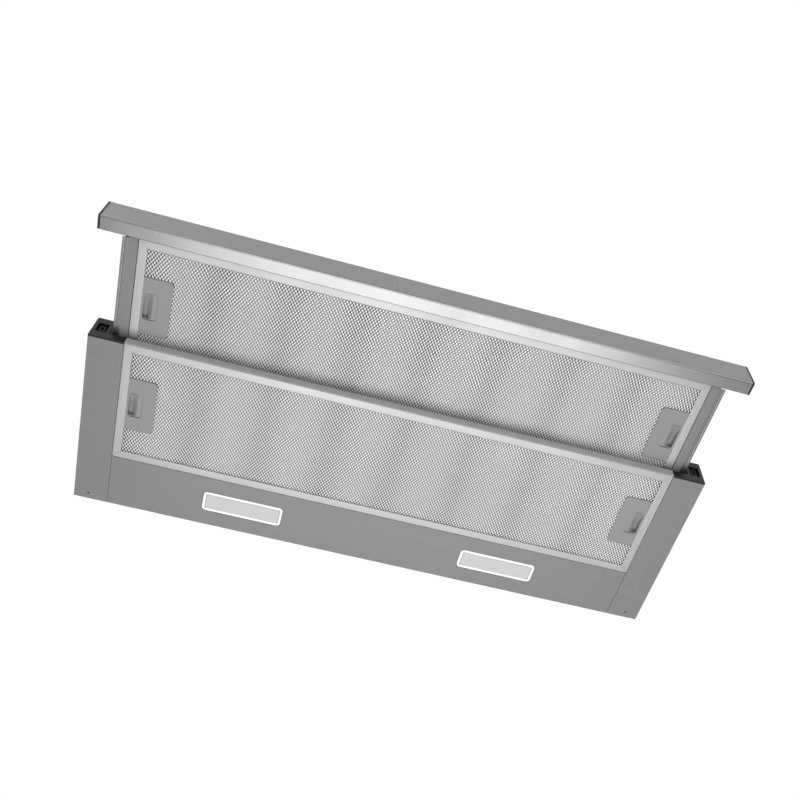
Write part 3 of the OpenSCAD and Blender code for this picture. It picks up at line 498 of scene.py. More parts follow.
def brushed_lines():
    """Long fine lines that run across the hood, as a brush leaves on steel and rolls on aluminium."""
    group, entry, end, place = group_of("brushed_lines")
    stretch = group.nodes.new("ShaderNodeMapping")
    stretch.inputs["Scale"].default_value = (0.012, 1.0, 1.0)
    link(group, place, stretch.inputs["Vector"])
    lines = noise(group, stretch.outputs["Vector"], entry.outputs["Grain"], 4.0, 0.65)
    tone = spread(group, lines, 0.90, 1.08, 0.25, 0.75)
    smear = spread(group, noise(group, place, 9.0, 3.0), -0.03, 0.05)
    streak = spread(group, lines, -0.06, 0.06, 0.25, 0.75)
    return put_out(group, entry, end, tone, maths(group, "ADD", smear, streak), lines)


def zinc_flowers():
    """Crystal flowers of galvanised sheet, each with its own tone and gloss."""
    group, entry, end, place = group_of("zinc_flowers")
    cells = group.nodes.new("ShaderNodeTexVoronoi")
    cells.feature = "F1"
    link(group, place, cells.inputs["Vector"])
    link(group, entry.outputs["Grain"], cells.inputs["Scale"])
    split = group.nodes.new("ShaderNodeSeparateColor")
    link(group, cells.outputs["Color"], split.inputs["Color"])
    fern = noise(group, place, 420.0, 3.0, 0.6)
    tone = maths(group, "MULTIPLY", spread(group, split.outputs["Red"], 0.90, 1.07, 0.0, 1.0),
                 spread(group, fern, 0.96, 1.04))
    gloss = spread(group, split.outputs["Green"], -0.08, 0.10, 0.0, 1.0)
    return put_out(group, entry, end, tone, gloss, fern)


def finish(name, group, colour, roughness, metallic, grain, depth, shine=0.5, clear=0.0):
    """A finish: one Principled surface fed by a group."""
    material = bpy.data.materials.new(name)
    material.use_nodes = True
    tree = material.node_tree
    surface = tree.nodes["Principled BSDF"]
    pattern = tree.nodes.new("ShaderNodeGroup")
    pattern.node_tree = group
    pattern.inputs["Colour"].default_value = (*colour, 1)
    feed(tree, pattern, Roughness=roughness, Grain=grain, Depth=depth)
    bump = tree.nodes.new("ShaderNodeBump")
    feed(tree, bump, Strength=1.0, Distance=RELIEF, Height=pattern.outputs["Height"])
    feed(tree, surface, Base_Color=pattern.outputs["Colour"], Roughness=pattern.outputs["Roughness"],
         Normal=bump.outputs["Normal"], Metallic=metallic, Specular_IOR_Level=shine, Transmission_Weight=clear)
    material.diffuse_color = (*colour, 1)
    return material


FINISHES = {}


def make_finishes(colours):
    """Makes every finish once."""
    stipple, lines, flowers = stippled_coat(), brushed_lines(), zinc_flowers()
    table = (
        ("grey_paint", stipple, colours.paint, 0.42, 0.0, 1500, 0.5),
        # The sill is the body's grey paint made 2.2 times lighter: painted light on the sill's front face, not a
        # paint of its own
        ("painted_light_sill", stipple, [c * 2.2 for c in colours.paint], 0.40, 0.0, 1500, 0.5),
        ("latch_paint", stipple, colours.latch, 0.45, 0.0, 1700, 0.5),
        ("catch_plastic", stipple, [c * 1.06 for c in colours.latch], 0.48, 0.0, 2200, 0.6),
        ("brushed_bar", lines, colours.steel, 0.30, 1.0, 5200, 0.35),
        ("rolled_border", lines, colours.aluminium, 0.42, 0.55, 2600, 0.35),
        ("mesh_foil", stipple, colours.mesh, 0.34, 0.25, 800, 0.6),
        # The layer behind is the same aluminium at half the mesh colour: painted shade behind the front layer
        ("back_mesh_painted_shade", stipple, [c * 0.5 for c in colours.mesh], 0.45, 0.25, 800, 0.6),
        # The grease pack is a solid sheet at a quarter of the mesh colour: it stands for the deeper aluminium
        # layers, darkened as painted shade
        ("mesh_pack", stipple, [c * 0.25 for c in colours.mesh], 0.6, 0.5, 700, 1.0),
        ("black_moulding", stipple, colours.moulding, 0.46, 0.0, 2400, 0.9),
        ("lamp_rim", stipple, (0.80, 0.80, 0.795), 0.22, 0.0, 900, 0.2),
        ("white_moulding", stipple, (0.72, 0.72, 0.71), 0.4, 0.0, 1600, 0.4),
        ("circuit_board", stipple, (0.78, 0.80, 0.78), 0.35, 0.0, 1200, 0.2),
        ("galvanised", flowers, colours.zinc, 0.40, 0.75, 95, 0.5),
        # The slides' zinc is set far darker than bare zinc: painted shade for the narrow gap beside the tray where
        # they run
        ("zinc_slides_painted_shade", lines, (0.17, 0.17, 0.175), 0.36, 0.9, 2200, 0.3),
        ("ball_steel", stipple, (0.62, 0.62, 0.63), 0.14, 1.0, 600, 0.1),
        ("spring_steel", lines, (0.45, 0.45, 0.46), 0.3, 1.0, 1800, 0.2),
        ("cast_metal", stipple, (0.36, 0.36, 0.37), 0.55, 0.6, 700, 1.5),
        ("can_metal", lines, (0.66, 0.66, 0.67), 0.28, 0.9, 1800, 0.2),
        ("wheel_metal", flowers, (0.47, 0.48, 0.49), 0.36, 0.8, 160, 0.4),
        ("flap_moulding", stipple, (0.05, 0.05, 0.052), 0.5, 0.0, 1800, 0.7),
    )
    for name, group, colour, roughness, metallic, grain, depth in table:
        FINISHES[name] = finish(name, group, tuple(colour)[:3], roughness, metallic, grain, depth,
                                shine=0.2 if name == "black_moulding" else 0.5)
    FINISHES["frosted_lens"] = finish(
        "frosted_lens", stipple, tuple(colours.lens), 0.36, 0.0, 1400, 0.5, clear=0.25)


# Operators: one for each piece or group of like pieces


class HOOD_OT_stage(bpy.types.Operator):
    """Floor, soft lamps, white room and the camera under the hood"""

    bl_idname = "hood.stage"
    bl_label = "Stage"

    def execute(self, context):
        stage = context.scene.hood_stage
        floor = plate("floor", -6000, 6000, -6000, 6000, -stage.floor_drop / MM)
        take_all()
        bpy.ops.mesh.flip_normals()
        bpy.ops.mesh.subdivide(number_cuts=3)
        choose()
        floor.data.materials.append(self.floor_finish())
        self.room(context, stage.sky)
        self.lamp("under_lamp", (0.06, 0.25, -1.45), (0.0, -0.4, 0.0), (1.3, 1.5), stage.under)
        self.lamp("front_lamp", (-1.6, -2.6, 1.2), (0, 0, 0), (2.2, 2.2), 24.0)
        self.lamp("rear_lamp", (1.8, 2.6, 1.8), (0, 0, 0.1), (2.2, 2.2), 20.0)
        self.lamp("low_lamp", (0.9, -1.7, -1.2), (0, 0, 0), (1.6, 1.0), 12.0)
        self.camera(context, stage.focal)
        context.scene.view_settings.view_transform = "Standard"
        return {"FINISHED"}

    @staticmethod
    def floor_finish():
        """Pale matt floor, open from below so that a low view sees the hood."""
        material = bpy.data.materials.new("pale_floor")
        material.use_nodes = True
        tree = material.node_tree
        surface = tree.nodes["Principled BSDF"]
        surface.inputs["Base Color"].default_value = (0.86, 0.86, 0.86, 1)
        surface.inputs["Roughness"].default_value = 0.9
        side = tree.nodes.new("ShaderNodeNewGeometry")
        clear = tree.nodes.new("ShaderNodeBsdfTransparent")
        mix = tree.nodes.new("ShaderNodeMixShader")
        link(tree, side.outputs["Backfacing"], mix.inputs["Fac"])
        link(tree, surface.outputs["BSDF"], mix.inputs[1])
        link(tree, clear.outputs["BSDF"], mix.inputs[2])
        link(tree, mix.outputs["Shader"], tree.nodes["Material Output"].inputs["Surface"])
        return material

    @staticmethod
    def room(context, strength):
        """White room: full white where it is seen or mirrored, softer where it lights."""
        world = bpy.data.worlds.new("white_room")
        context.scene.world = world
        world.use_nodes = True
        tree = world.node_tree
        back = tree.nodes["Background"]
        back.inputs["Color"].default_value = (1, 1, 1, 1)
        path = tree.nodes.new("ShaderNodeLightPath")
        seen = maths(tree, "MAXIMUM", path.outputs["Is Camera Ray"], path.outputs["Is Glossy Ray"])
        seen = maths(tree, "MAXIMUM", seen, path.outputs["Is Transmission Ray"])
        link(tree, maths(tree, "ADD", maths(tree, "MULTIPLY", seen, 1.0 - strength), strength),
             back.inputs["Strength"])

    @staticmethod
    def lamp(name, place, target, size, power):
        """Soft rectangular lamp that faces a point."""
        light = bpy.data.lights.new(name, "AREA")
        light.shape = "RECTANGLE"
        light.size, light.size_y = size
        light.energy = power
        holder = bpy.data.objects.new(name, light)
        bpy.context.scene.collection.objects.link(holder)
        holder.location = place
        holder.rotation_euler = (Vector(target) - Vector(place)).to_track_quat("-Z", "Y").to_euler()

    @staticmethod
    def camera(context, focal):
        """Camera under and in front of the hood, tilted as the photograph is."""
        lens = bpy.data.cameras.new("camera")
        lens.lens = focal
        lens.sensor_width = 36
        lens.shift_x = -0.0434
        lens.shift_y = 0.0744
        lens.clip_start = 0.05
        holder = bpy.data.objects.new("camera", lens)
        context.scene.collection.objects.link(holder)
        right = Vector((0.96502213, -0.26120384, 0.02246877))
        down = Vector((0.22878821, 0.79720453, -0.55867781))
        ahead = Vector((0.12801659, 0.54427704, 0.82908037))
        turn = Matrix((right, -down, -ahead)).transposed().to_4x4()
        holder.matrix_world = Matrix.Translation((-0.1327753, -0.7902225, -1.2234203)) @ turn
        context.scene.camera = holder


class HOOD_OT_front_bar(bpy.types.Operator):
    """Folded brushed steel bar across the tray's front, with the fine seam under its front edge"""

    bl_idname = "hood.front_bar"
    bl_label = "Front bar"

    seam_set = 2.2
    seam_width = 0.45
    seam_depth = 0.5
    sheet = 1.0

    def execute(self, context):
        sizes = context.scene.hood_sizes
        low, high = box_mm("front_bar")
        bar = block("steel_bar", low, high)
        shape(bar)
        pick(bar, "FACE", lambda p, f: abs(f.normal.x) > 0.9)
        erase("ONLY_FACE")
        pick(bar, "EDGE", lambda p, e: along(e, "x") > 0.1)
        bevel(sizes.bar_fold, 5)
        # Seam between the front skin's hem and the bar's underside
        for place in (low.y + self.seam_set, low.y + self.seam_set + self.seam_width):
            pick(bar, "FACE", lambda p, f: f.normal.z < -0.99)
            cut("y", place)
        pick(bar, "FACE", lambda p, f: f.normal.z < -0.99
             and abs(p.y - low.y - self.seam_set - self.seam_width / 2) < 0.2)
        extrude(z=self.seam_depth)
        thicken(bar, self.sheet)
        soften(bar)
        finish_piece(bar, "tray", "brushed_bar", "brushed_steel", "front_bar")
        return {"FINISHED"}


class HOOD_OT_bar_caps(bpy.types.Operator):
    """Black moulded caps that close the ends of the front bar"""

    bl_idname = "hood.bar_caps"
    bl_label = "Bar caps"

    face = 3.0
    plug_length = 14.0
    plug_step = 1.3
    plug_wall = 2.0

    def execute(self, context):
        sizes = context.scene.hood_sizes
        low, high = box_mm("bar_cap_right")
        cap = block("moulded_cap_right", (high.x - self.face, low.y, low.z), high)
        shape(cap)
        pick(cap, "EDGE", lambda p, e: along(e, "x") > 0.001)
        bevel(sizes.bar_fold, 5)
        # Hollow plug on the inner side, a step smaller than the bar's bore
        pick(cap, "FACE", lambda p, f: f.normal.x < -0.9)
        inset(self.plug_step * MM)
        extrude(x=-self.plug_length)
        inset(self.plug_wall * MM)
        extrude(x=self.plug_length - self.plug_wall)
        round_edges(cap, 0.0003)
        finish_both(cap, "tray", "black_moulding", "black_plastic", "bar_cap")
        return {"FINISHED"}


class HOOD_OT_filter_borders(bpy.types.Operator):
    """Rolled aluminium borders of both filters, mitred at their corners"""

    bl_idname = "hood.filter_borders"
    bl_label = "Filter borders"

    border = 12.0
    foil = 0.8
    groove = 0.35
    hem = 1.1
    slot_half = 13.6
    slot_low = 3.8
    slot_high = 8.2

    def execute(self, context):
        sizes = context.scene.hood_sizes
        for body, group in FILTERS:
            node = f"{body}_filter_frame"
            low, high = box_mm(node)
            border = self.border_piece(f"{body}_filter_border", low, high, sizes)
            finish_piece(border, group, "rolled_border", "filter_aluminium", node)
        return {"FINISHED"}

    def border_piece(self, name, low, high, sizes):
        """One border: mitred face, round outer fold, outer wall, top flange and inner hem."""
        piece = plate(name, low.x, high.x, low.y, high.y, low.z)
        take_all()
        inset(self.border * MM)
        erase()
        middle_y = (low.y + high.y) / 2
        inner_x, inner_y = high.x - self.border, (high.y - low.y) / 2 - self.border

        def inner(p):
            return abs(p.x) < inner_x + 0.1 and abs(p.y - middle_y) < inner_y + 0.1

        pick(piece, "EDGE", lambda p, e: min(along(e, "x"), along(e, "y")) > 0.001)
        bevel(sizes.mitre, 2)
        pick(piece, "EDGE", lambda p, e: not e.is_boundary
             and all(self.on_mitre(v.co / MM, high.x, middle_y, (high.y - low.y) / 2) for v in e.verts))
        move(z=self.groove)
        # Inner hem, then the outer wall with its round fold
        pick(piece, "EDGE", lambda p, e: e.is_boundary and inner(p))
        extrude_rim(z=self.hem)
        pick(piece, "EDGE", lambda p, e: e.is_boundary and not inner(p) and p.z < low.z + 0.5)
        extrude_rim(z=high.z - low.z)
        pick(piece, "EDGE", lambda p, e: e.is_boundary and p.z > high.z - 0.1)
        extrude_rim()
        bpy.ops.transform.resize(
            value=(1 - self.border / high.x, 1 - self.border / ((high.y - low.y) / 2), 1),
            center_override=(0, middle_y * MM, high.z * MM))
        pick(piece, "EDGE", lambda p, e: not e.is_boundary and len(e.link_faces) == 2
             and e.calc_face_angle(0) > SQUARE)
        bevel(0.0008, 3)
        # Slots in the short walls for the tongues of the catches
        for axis, place in (("y", middle_y - self.slot_half), ("y", middle_y + self.slot_half),
                            ("z", low.z + self.slot_low), ("z", low.z + self.slot_high)):
            pick(piece, "FACE", lambda p, f: abs(f.normal.x) > 0.99 and abs(p.x) > inner_x + 5)
            cut(axis, place)
        pick(piece, "FACE", lambda p, f: abs(f.normal.x) > 0.99 and abs(p.x) > inner_x + 5
             and abs(p.y - middle_y) < self.slot_half and low.z + self.slot_low < p.z < low.z + self.slot_high)
        erase()
        take_all()
        bpy.ops.mesh.remove_doubles(threshold=0.000002)
        thicken(piece, self.foil)
        # No corner of the mitres stands below the face
        shape(piece)
        pick(piece, "VERT", lambda p, v: p.z < low.z - 0.01)
        bpy.ops.transform.resize(value=(1, 1, 0), center_override=(0, 0, low.z * MM))
        soften(piece)
        return piece

    @staticmethod
    def on_mitre(place, half_x, middle_y, half_y):
        """Whether a point is on the diagonal of a corner."""
        return abs((half_x - abs(place.x)) - (half_y - abs(place.y - middle_y))) < 0.05


class HOOD_OT_filter_mesh(bpy.types.Operator):
    """Expanded aluminium mesh of both filters: a front layer, a layer behind it and the grease pack, the last two
    darkened as painted shade
    """

    bl_idname = "hood.filter_mesh"
    bl_label = "Filter mesh"

    # Places of the layers behind the border's face and behind each other
    border = 12.0
    front_set = 1.3
    rear_set = 1.2
    pack_set = 3.4
    pack_lap = 4
    pack_foil = 0.3
    latch_lap = 0.8
    # The rear layer has so many diamonds fewer, and its strands drift across the front one's holes
    rear_fewer = 8
    # Strands: rise, share of a diamond that is a knot, and half sizes of the flat pad on it
    step = 0.3
    knot_share = 0.13
    pad_x = 0.62
    pad_y = 1.3

    def execute(self, context):
        sizes = context.scene.hood_sizes
        for body, group in FILTERS:
            low, high = box_mm(f"{body}_filter_frame")
            self.layers(body, group, low, high, sizes)
        return {"FINISHED"}

    def layers(self, body, group, low, high, sizes):
        """All layers of one filter, cut away where the latch cases stand."""
        x0, x1 = low.x + self.border, high.x - self.border
        y0, y1 = low.y + self.border, high.y - self.border
        pitch_x = (x1 - x0) / sizes.diamond_columns
        pitch_y = (y1 - y0) / sizes.diamond_rows
        plate_low, plate_high = box_mm(f"{body}_latch_right")
        half = sizes.diamond_columns // 2
        z = low.z + self.front_set
        front = self.net(f"{body}_mesh_right", pitch_x, pitch_y, half, sizes.diamond_rows, sizes.strand / MM, 3,
                         (0.0, y0, z))
        other = repeat(front, f"{body}_mesh_left", x=-half * pitch_x)
        wide = sizes.diamond_columns - self.rear_fewer
        rear = self.net(f"{body}_mesh_rear", (x1 - x0) / wide, pitch_y, wide, sizes.diamond_rows,
                        sizes.strand / MM, 2, (x0, y0, z + self.rear_set))
        lap = self.pack_lap
        # Solid pack plate behind the layers, dark in its finish as painted shade for the depth of the filter
        pack = plate(f"{body}_mesh_pack", x0 - lap, x1 + lap, y0 - lap, y1 + lap, z + self.pack_set)
        take_all()
        bpy.ops.mesh.subdivide(number_cuts=60)
        cut_all("x", -plate_low.x, plate_low.x)
        cut_all("y", plate_low.y, plate_high.y)
        for piece in (front, other, rear, pack):
            self.open_latch(piece, plate_low, plate_high)
        thicken(pack, self.pack_foil)
        soften(pack, 60)
        finish_piece(front, group, "mesh_foil", "filter_aluminium", f"{body}_filter_mesh")
        finish_piece(other, group, "mesh_foil", "filter_aluminium")
        # The rear layer's finish is the mesh colour halved, as painted shade
        finish_piece(rear, group, "back_mesh_painted_shade", "filter_aluminium")
        finish_piece(pack, group, "mesh_pack", "filter_aluminium")

    def net(self, name, pitch_x, pitch_y, columns, rows, strand, sides, corner):
        """Zigzag strands in staggered rows, from one drawn out period that is then repeated."""
        strips = []
        for row, rise in ((0, 1), (1, -1)):
            choose()
            if sides == 3:
                bpy.ops.mesh.primitive_circle_add(vertices=3, radius=MM, fill_type="NOTHING")
            else:
                bpy.ops.mesh.primitive_plane_add(size=MM)
            strip = settle(f"{name}_strip_{row}")
            shape(strip)
            if sides == 2:
                pick(strip, "VERT", lambda p, v: p.y > 0)
                erase("VERT")
            mesh = bmesh.from_edit_mesh(strip.data)
            ends = ((-strand / 2, 0.62), (strand / 2, 0.5), (-strand * 0.1, 0.0))
            start_y = pitch_y * (row + 0.5) * 0.5 - rise * pitch_y / 4
            start_z = rise * self.step / 2
            for vertex, (back, up) in zip(mesh.verts, ends if sides == 3 else ends[:2]):
                vertex.co = Vector((0, start_y + back, start_z + (up if sides == 3 else back * 0.3))) * MM
            bmesh.update_edit_mesh(strip.data)
            pick(strip, "EDGE", lambda p, e: True)
            # Each strand climbs to a short flat knot, where it meets the next row, and comes down again
            knot = self.knot_share * pitch_x
            for way in (rise, -rise):
                extrude_rim(pitch_x / 2 - knot, way * pitch_y / 2, -way * self.step)
                extrude_rim(knot)
            strips.append(strip)
            if sides == 3:
                # Flat pad on the knot, where the sheet was never slit
                pad = plate(f"{name}_pad_{row}", -MM, MM, -MM, MM, 0)
                mesh = bmesh.from_edit_mesh(pad.data)
                middle = (pitch_x * (row + 1) / 2 - knot / 2, pitch_y * (1 - row) / 2, -self.step / 2 - 0.04)
                for vertex, (x, y) in zip(sorted(mesh.verts, key=lambda v: math.atan2(v.co.y, v.co.x)),
                                          ((0, -self.pad_y), (self.pad_x, 0), (0, self.pad_y), (-self.pad_x, 0))):
                    vertex.co = Vector((middle[0] + x, middle[1] + y, middle[2])) * MM
                bmesh.update_edit_mesh(pad.data)
                strips.append(pad)
        piece = joined(name, *strips)
        for count, offset in ((columns, (pitch_x * MM, 0, 0)), (rows, (0, pitch_y * MM, 0))):
            modify(piece, "ARRAY", count=count, use_relative_offset=False, use_constant_offset=True,
                   constant_offset_displace=offset, use_merge_vertices=offset[0] > 0, merge_threshold=0.00001)
        piece.location = Vector(corner) * MM
        choose(piece)
        return settle(name)

    def open_latch(self, piece, low, high):
        """Takes away what would stand in the latch cases on both sides."""
        shape(piece)
        pick(piece, "FACE", lambda p, f: low.x + self.latch_lap < abs(p.x)
             and low.y + self.latch_lap < p.y < high.y - self.latch_lap)
        erase()
        choose(piece)


class HOOD_OT_latches(bpy.types.Operator):
    """Latch plates of both filters, with round inner corners and a finger pocket"""

    bl_idname = "hood.latches"
    bl_label = "Latches"

    plate_width = 40.0
    pocket_edge = 3.0
    pocket_width = 19.0
    pocket_length = 40.0
    corner = 6.0
    pocket_corner = 4.0
    rim = 1.4
    pocket_rim = 0.5
    sheet = 0.45
    case_wall = 0.8

    def execute(self, context):
        for body, group in FILTERS:
            low, high = box_mm(f"{body}_latch_right")
            right = self.plate_piece(f"{body}_latch_plate_right", low, high)
            finish_both(right, group, "latch_paint", "latch_paint", f"{body}_latch")
        return {"FINISHED"}

    def plate_piece(self, name, low, high):
        """Pressed plate: rolled rim, pocket opening with a turned edge, and the case walls behind."""
        x0, x1 = low.x, low.x + self.plate_width
        middle = (low.y + high.y) / 2
        piece = plate(name, x0, x1, low.y, high.y, low.z)
        pocket_x = (x1 - self.pocket_edge - self.pocket_width, x1 - self.pocket_edge)
        pocket_y = (middle - self.pocket_length / 2, middle + self.pocket_length / 2)
        centre = sum(pocket_x) / 2
        cut_all("x", pocket_x[0], centre, pocket_x[1])
        cut_all("y", *pocket_y)
        pick(piece, "VERT", lambda p, v: min(abs(p.x - x) for x in pocket_x) < 0.1
             and min(abs(p.y - y) for y in pocket_y) < 0.1)
        bevel(self.pocket_corner * MM, 6, "VERTICES")
        pick(piece, "FACE", lambda p, f: pocket_x[0] < p.x < pocket_x[1] and abs(p.y - middle) < 5)
        erase()
        for side in (-1, 1):
            pick(piece, "FACE", lambda p, f: (p.x - centre) * side > 0)
            bpy.ops.mesh.dissolve_faces()
        pick(piece, "VERT", lambda p, v: p.x < x0 + 0.1 and min(abs(p.y - low.y), abs(p.y - high.y)) < 0.1)
        bevel(self.corner * MM, 8, "VERTICES")
        # Narrow faces beside every edge keep the plate's flat shading flat
        take_all()
        inset(0.0007)

        def in_pocket(p):
            return pocket_x[0] - 0.1 < p.x < pocket_x[1] + 0.1 and abs(p.y - middle) < self.pocket_length / 2 + 0.1

        # Rim turned up all round, and less deep into the pocket, so that the grip slides in behind it
        for rim, inner, fold in ((self.rim, False, 0.0005), (self.pocket_rim, True, 0.0002)):
            pick(piece, "EDGE", lambda p, e: e.is_boundary and p.z < low.z + 0.1 and in_pocket(p) == inner)
            extrude_rim(z=rim)
            pick(piece, "EDGE", lambda p, e: not e.is_boundary and in_pocket(p) == inner
                 and e.calc_face_angle(0) > SQUARE)
            bevel(fold, 3)
        thicken(piece, self.sheet)
        # Closed case behind the plate
        shell = block(name + "_case", (x0 + 1.2, low.y + 8, low.z + 1.0), (x1, high.y - 8, high.z))
        shape(shell)
        pick(shell, "FACE", lambda p, f: f.normal.z < -0.9 or f.normal.x > 0.9)
        erase()
        thicken(shell, self.case_wall)
        round_edges(shell, 0.0003)
        piece = joined(name, shell, piece)
        soften(piece)
        return piece


class HOOD_OT_catches(bpy.types.Operator):
    """Sliding catches: a grip and a scooped finger floor in the pocket, and a sloped tongue"""

    bl_idname = "hood.catches"
    bl_label = "Catches"

    # Place of the pocket in the plate, length of the part in it, and the walls round the scoop
    pocket_set = 18.0
    reach = 22.0
    wall = 0.8
    wall_front = 1.0
    wall_rear = 1.2
    grip = 7.0
    floor = 1.0
    ramp_depth = 0.6
    tongue_half = 13.0
    tongue_height = 3.6

    def execute(self, context):
        for body in ("tray", "body"):
            low, high = box_mm(f"{body}_catch_right")
            plate_low, _ = box_mm(f"{body}_latch_right")
            right = self.catch_piece(f"{body}_catch_slider_right", low, high, plate_low.x + self.pocket_set)
            for side, piece in (("right", right), ("left", twin(right))):
                finish_piece(piece, f"catch_{body}_{side}", "catch_plastic", "latch_plastic",
                             f"{body}_catch_{side}")
        return {"FINISHED"}

    def catch_piece(self, name, low, high, pocket_in):
        """One catch, scooped out beside the grip."""
        middle = (low.y + high.y) / 2
        wall_x = pocket_in + self.reach
        piece = block(name, (low.x, low.y, low.z), (wall_x, high.y, high.z))
        shape(piece)
        scoop_x = (pocket_in + self.grip, wall_x - self.wall)
        scoop_y = (low.y + self.wall_front, high.y - self.wall_rear)
        for axis, place in (("x", scoop_x[0]), ("x", scoop_x[1]), ("y", scoop_y[0]), ("y", scoop_y[1])):
            pick(piece, "FACE", lambda p, f: f.normal.z < -0.9)
            cut(axis, place)
        pick(piece, "FACE", lambda p, f: f.normal.z < -0.9 and scoop_x[0] < p.x < scoop_x[1]
             and scoop_y[0] < p.y < scoop_y[1])
        bpy.ops.mesh.select_mode(type="VERT")
        bevel(0.003, 5, "VERTICES")
        pick(piece, "FACE", lambda p, f: f.normal.z < -0.9 and scoop_x[0] + 2 < p.x < scoop_x[1] - 2
             and abs(p.y - middle) < 6)
        extrude(z=high.z - self.floor - low.z)
        top = high.z - self.floor
        # The floor is deep only at the outer rear corner, and rises to the front and to the grip
        centre = sum(scoop_x) / 2
        for axis, place in (("y", middle + 2), ("x", centre)):
            pick(piece, "FACE", lambda p, f: abs(p.z - top) < 0.01 and f.normal.z < -0.9)
            cut(axis, place)
        pick(piece, "VERT", lambda p, v: abs(p.z - top) < 0.01 and (p.y < middle - 5 or p.x < centre - 1))
        move(z=low.z - top - self.ramp_depth)
        round_edges(piece, 0.0005)
        tongue = block(name + "_tongue", (wall_x - 0.5, middle - self.tongue_half, high.z - self.tongue_height),
                       (high.x, middle + self.tongue_half, high.z))
        shape(tongue)
        pick(tongue, "EDGE", lambda p, e: p.x > high.x - 0.1 and p.z > high.z - 0.1)
        bevel(0.002, 1)
        round_edges(tongue, 0.0003)
        piece = joined(name, tongue, piece)
        soften(piece)
        return piece


class HOOD_OT_side_boxes(bpy.types.Operator):
    """Painted side boxes and the folded sill between them"""

    bl_idname = "hood.side_boxes"
    bl_label = "Side boxes"

    def execute(self, context):
        right = pressed("side_box_right", "side_case_right", context.scene.hood_sizes.fold)
        finish_both(right, "hood_body", "grey_paint", "painted_steel", "side_box")
        # The sill takes the lightened copy of the grey paint, painted light on its front face
        press_sheet("front_sill", "folded_sill", "hood_body", "painted_light_sill", "painted_steel")
        return {"FINISHED"}


class HOOD_OT_end_caps(bpy.types.Operator):
    """Black moulded caps on the front of the side boxes"""

    bl_idname = "hood.end_caps"
    bl_label = "End caps"

    def execute(self, context):
        for side in SIDES:
            press_sheet(f"end_cap_{side}", f"moulded_end_{side}", "hood_body", "black_moulding", "black_plastic",
                        0.0004)
        return {"FINISHED"}


class HOOD_OT_light_panel(bpy.types.Operator):
    """Painted panel that holds the two lamps"""

    bl_idname = "hood.light_panel"
    bl_label = "Light panel"

    def execute(self, context):
        press_sheet("light_panel", "lamp_panel", "hood_body", "grey_paint", "painted_steel")
        return {"FINISHED"}


class HOOD_OT_lamps(bpy.types.Operator):
    """Two lamps: bright rim, frosted lens, white body and a board of diodes"""

    bl_idname = "hood.lamps"
    bl_label = "Lamps"

    rim = 4.0
    corner = 6.0
    lens_angle = 50

    def execute(self, context):
        low, high = box_mm("lamp_bezel_right")
        flange = 3.0
        x0, x1, y0, y1 = low.x + flange, high.x - flange, low.y + flange, high.y - flange
        rim = self.rim_piece("lamp_rim_right", x0, x1, y0, y1, low.z, high.z)
        lens = self.lens_piece("lamp_glass_right", x0 + self.rim, x1 - self.rim, y0 + self.rim, y1 - self.rim)
        finish_both(rim, "hood_body", "lamp_rim", "lamp_rim", "lamp_bezel")
        finish_both(lens, "hood_body", "frosted_lens", "lamp_lens", "lamp_lens", self.lens_angle)
        dress("white_moulding", "lamp_body_left", "lamp_body_right")
        dress("circuit_board", "lamp_board_left", "lamp_board_right")
        return {"FINISHED"}

    def rim_piece(self, name, x0, x1, y0, y1, z, top):
        """Rim: a round edged ring that stands in the panel's opening."""
        piece = plate(name, x0, x1, y0, y1, z)
        pick(piece, "VERT", lambda p, v: True)
        bevel(self.corner * MM, 8, "VERTICES")
        pick(piece, "FACE", lambda p, f: True)
        inset(self.rim * MM)
        erase()
        pick(piece, "EDGE", lambda p, e: e.is_boundary)
        extrude_rim(z=top - z)
        pick(piece, "EDGE", lambda p, e: not e.is_boundary and e.calc_face_angle(0) > SQUARE)
        bevel(0.0009, 4)
        pick(piece, "EDGE", lambda p, e: e.is_boundary)
        bpy.ops.mesh.bridge_edge_loops()
        soften(piece)
        return piece

    def lens_piece(self, name, x0, x1, y0, y1):
        """Lens: a thin frosted tray, its flat middle set back behind a raised lip."""
        play = 0.35
        corner = 3.2
        lip = 1.3
        slope = 0.7
        piece = plate(name, x0 + play, x1 - play, y0 + play, y1 - play, 0.35)
        pick(piece, "VERT", lambda p, v: True)
        bevel(corner * MM, 8, "VERTICES")
        pick(piece, "EDGE", lambda p, e: e.is_boundary)
        extrude_rim(z=1.9)
        pick(piece, "EDGE", lambda p, e: not e.is_boundary and e.calc_face_angle(0) > SQUARE)
        bevel(0.0004, 3)
        pick(piece, "FACE", lambda p, f: len(f.verts) > 8)
        inset(lip * MM)
        inset(slope * MM)
        move(z=0.6)
        thicken(piece, 0.9)
        soften(piece, self.lens_angle)
        return piece


class HOOD_OT_tray(bpy.types.Operator):
    """Painted sliding tray"""

    bl_idname = "hood.tray"
    bl_label = "Tray"

    def execute(self, context):
        press_sheet("tray_frame", "folded_tray", "tray", "grey_paint", "painted_steel")
        return {"FINISHED"}


class HOOD_OT_slides(bpy.types.Operator):
    """Ball bearing slides with their rivets"""

    bl_idname = "hood.slides"
    bl_label = "Slides"

    def execute(self, context):
        # Rails in the darkened zinc finish, painted shade of the gap they run in
        dress("zinc_slides_painted_shade", "rail_outer_left", "rail_outer_right", "rail_inner_left", "rail_inner_right")
        dress("ball_steel", "ball_cage_left", "ball_cage_right")
        dress("spring_steel", "body_latch_springs", "tray_latch_springs")
        return {"FINISHED"}


class HOOD_OT_housing(bpy.types.Operator):
    """Galvanised housing above the side boxes"""

    bl_idname = "hood.housing"
    bl_label = "Housing"

    def execute(self, context):
        for node in ("upper_housing", "housing_side_left", "housing_side_right"):
            press_sheet(node, f"folded_{node}", "hood_body", "galvanised", "zinc_steel")
        return {"FINISHED"}


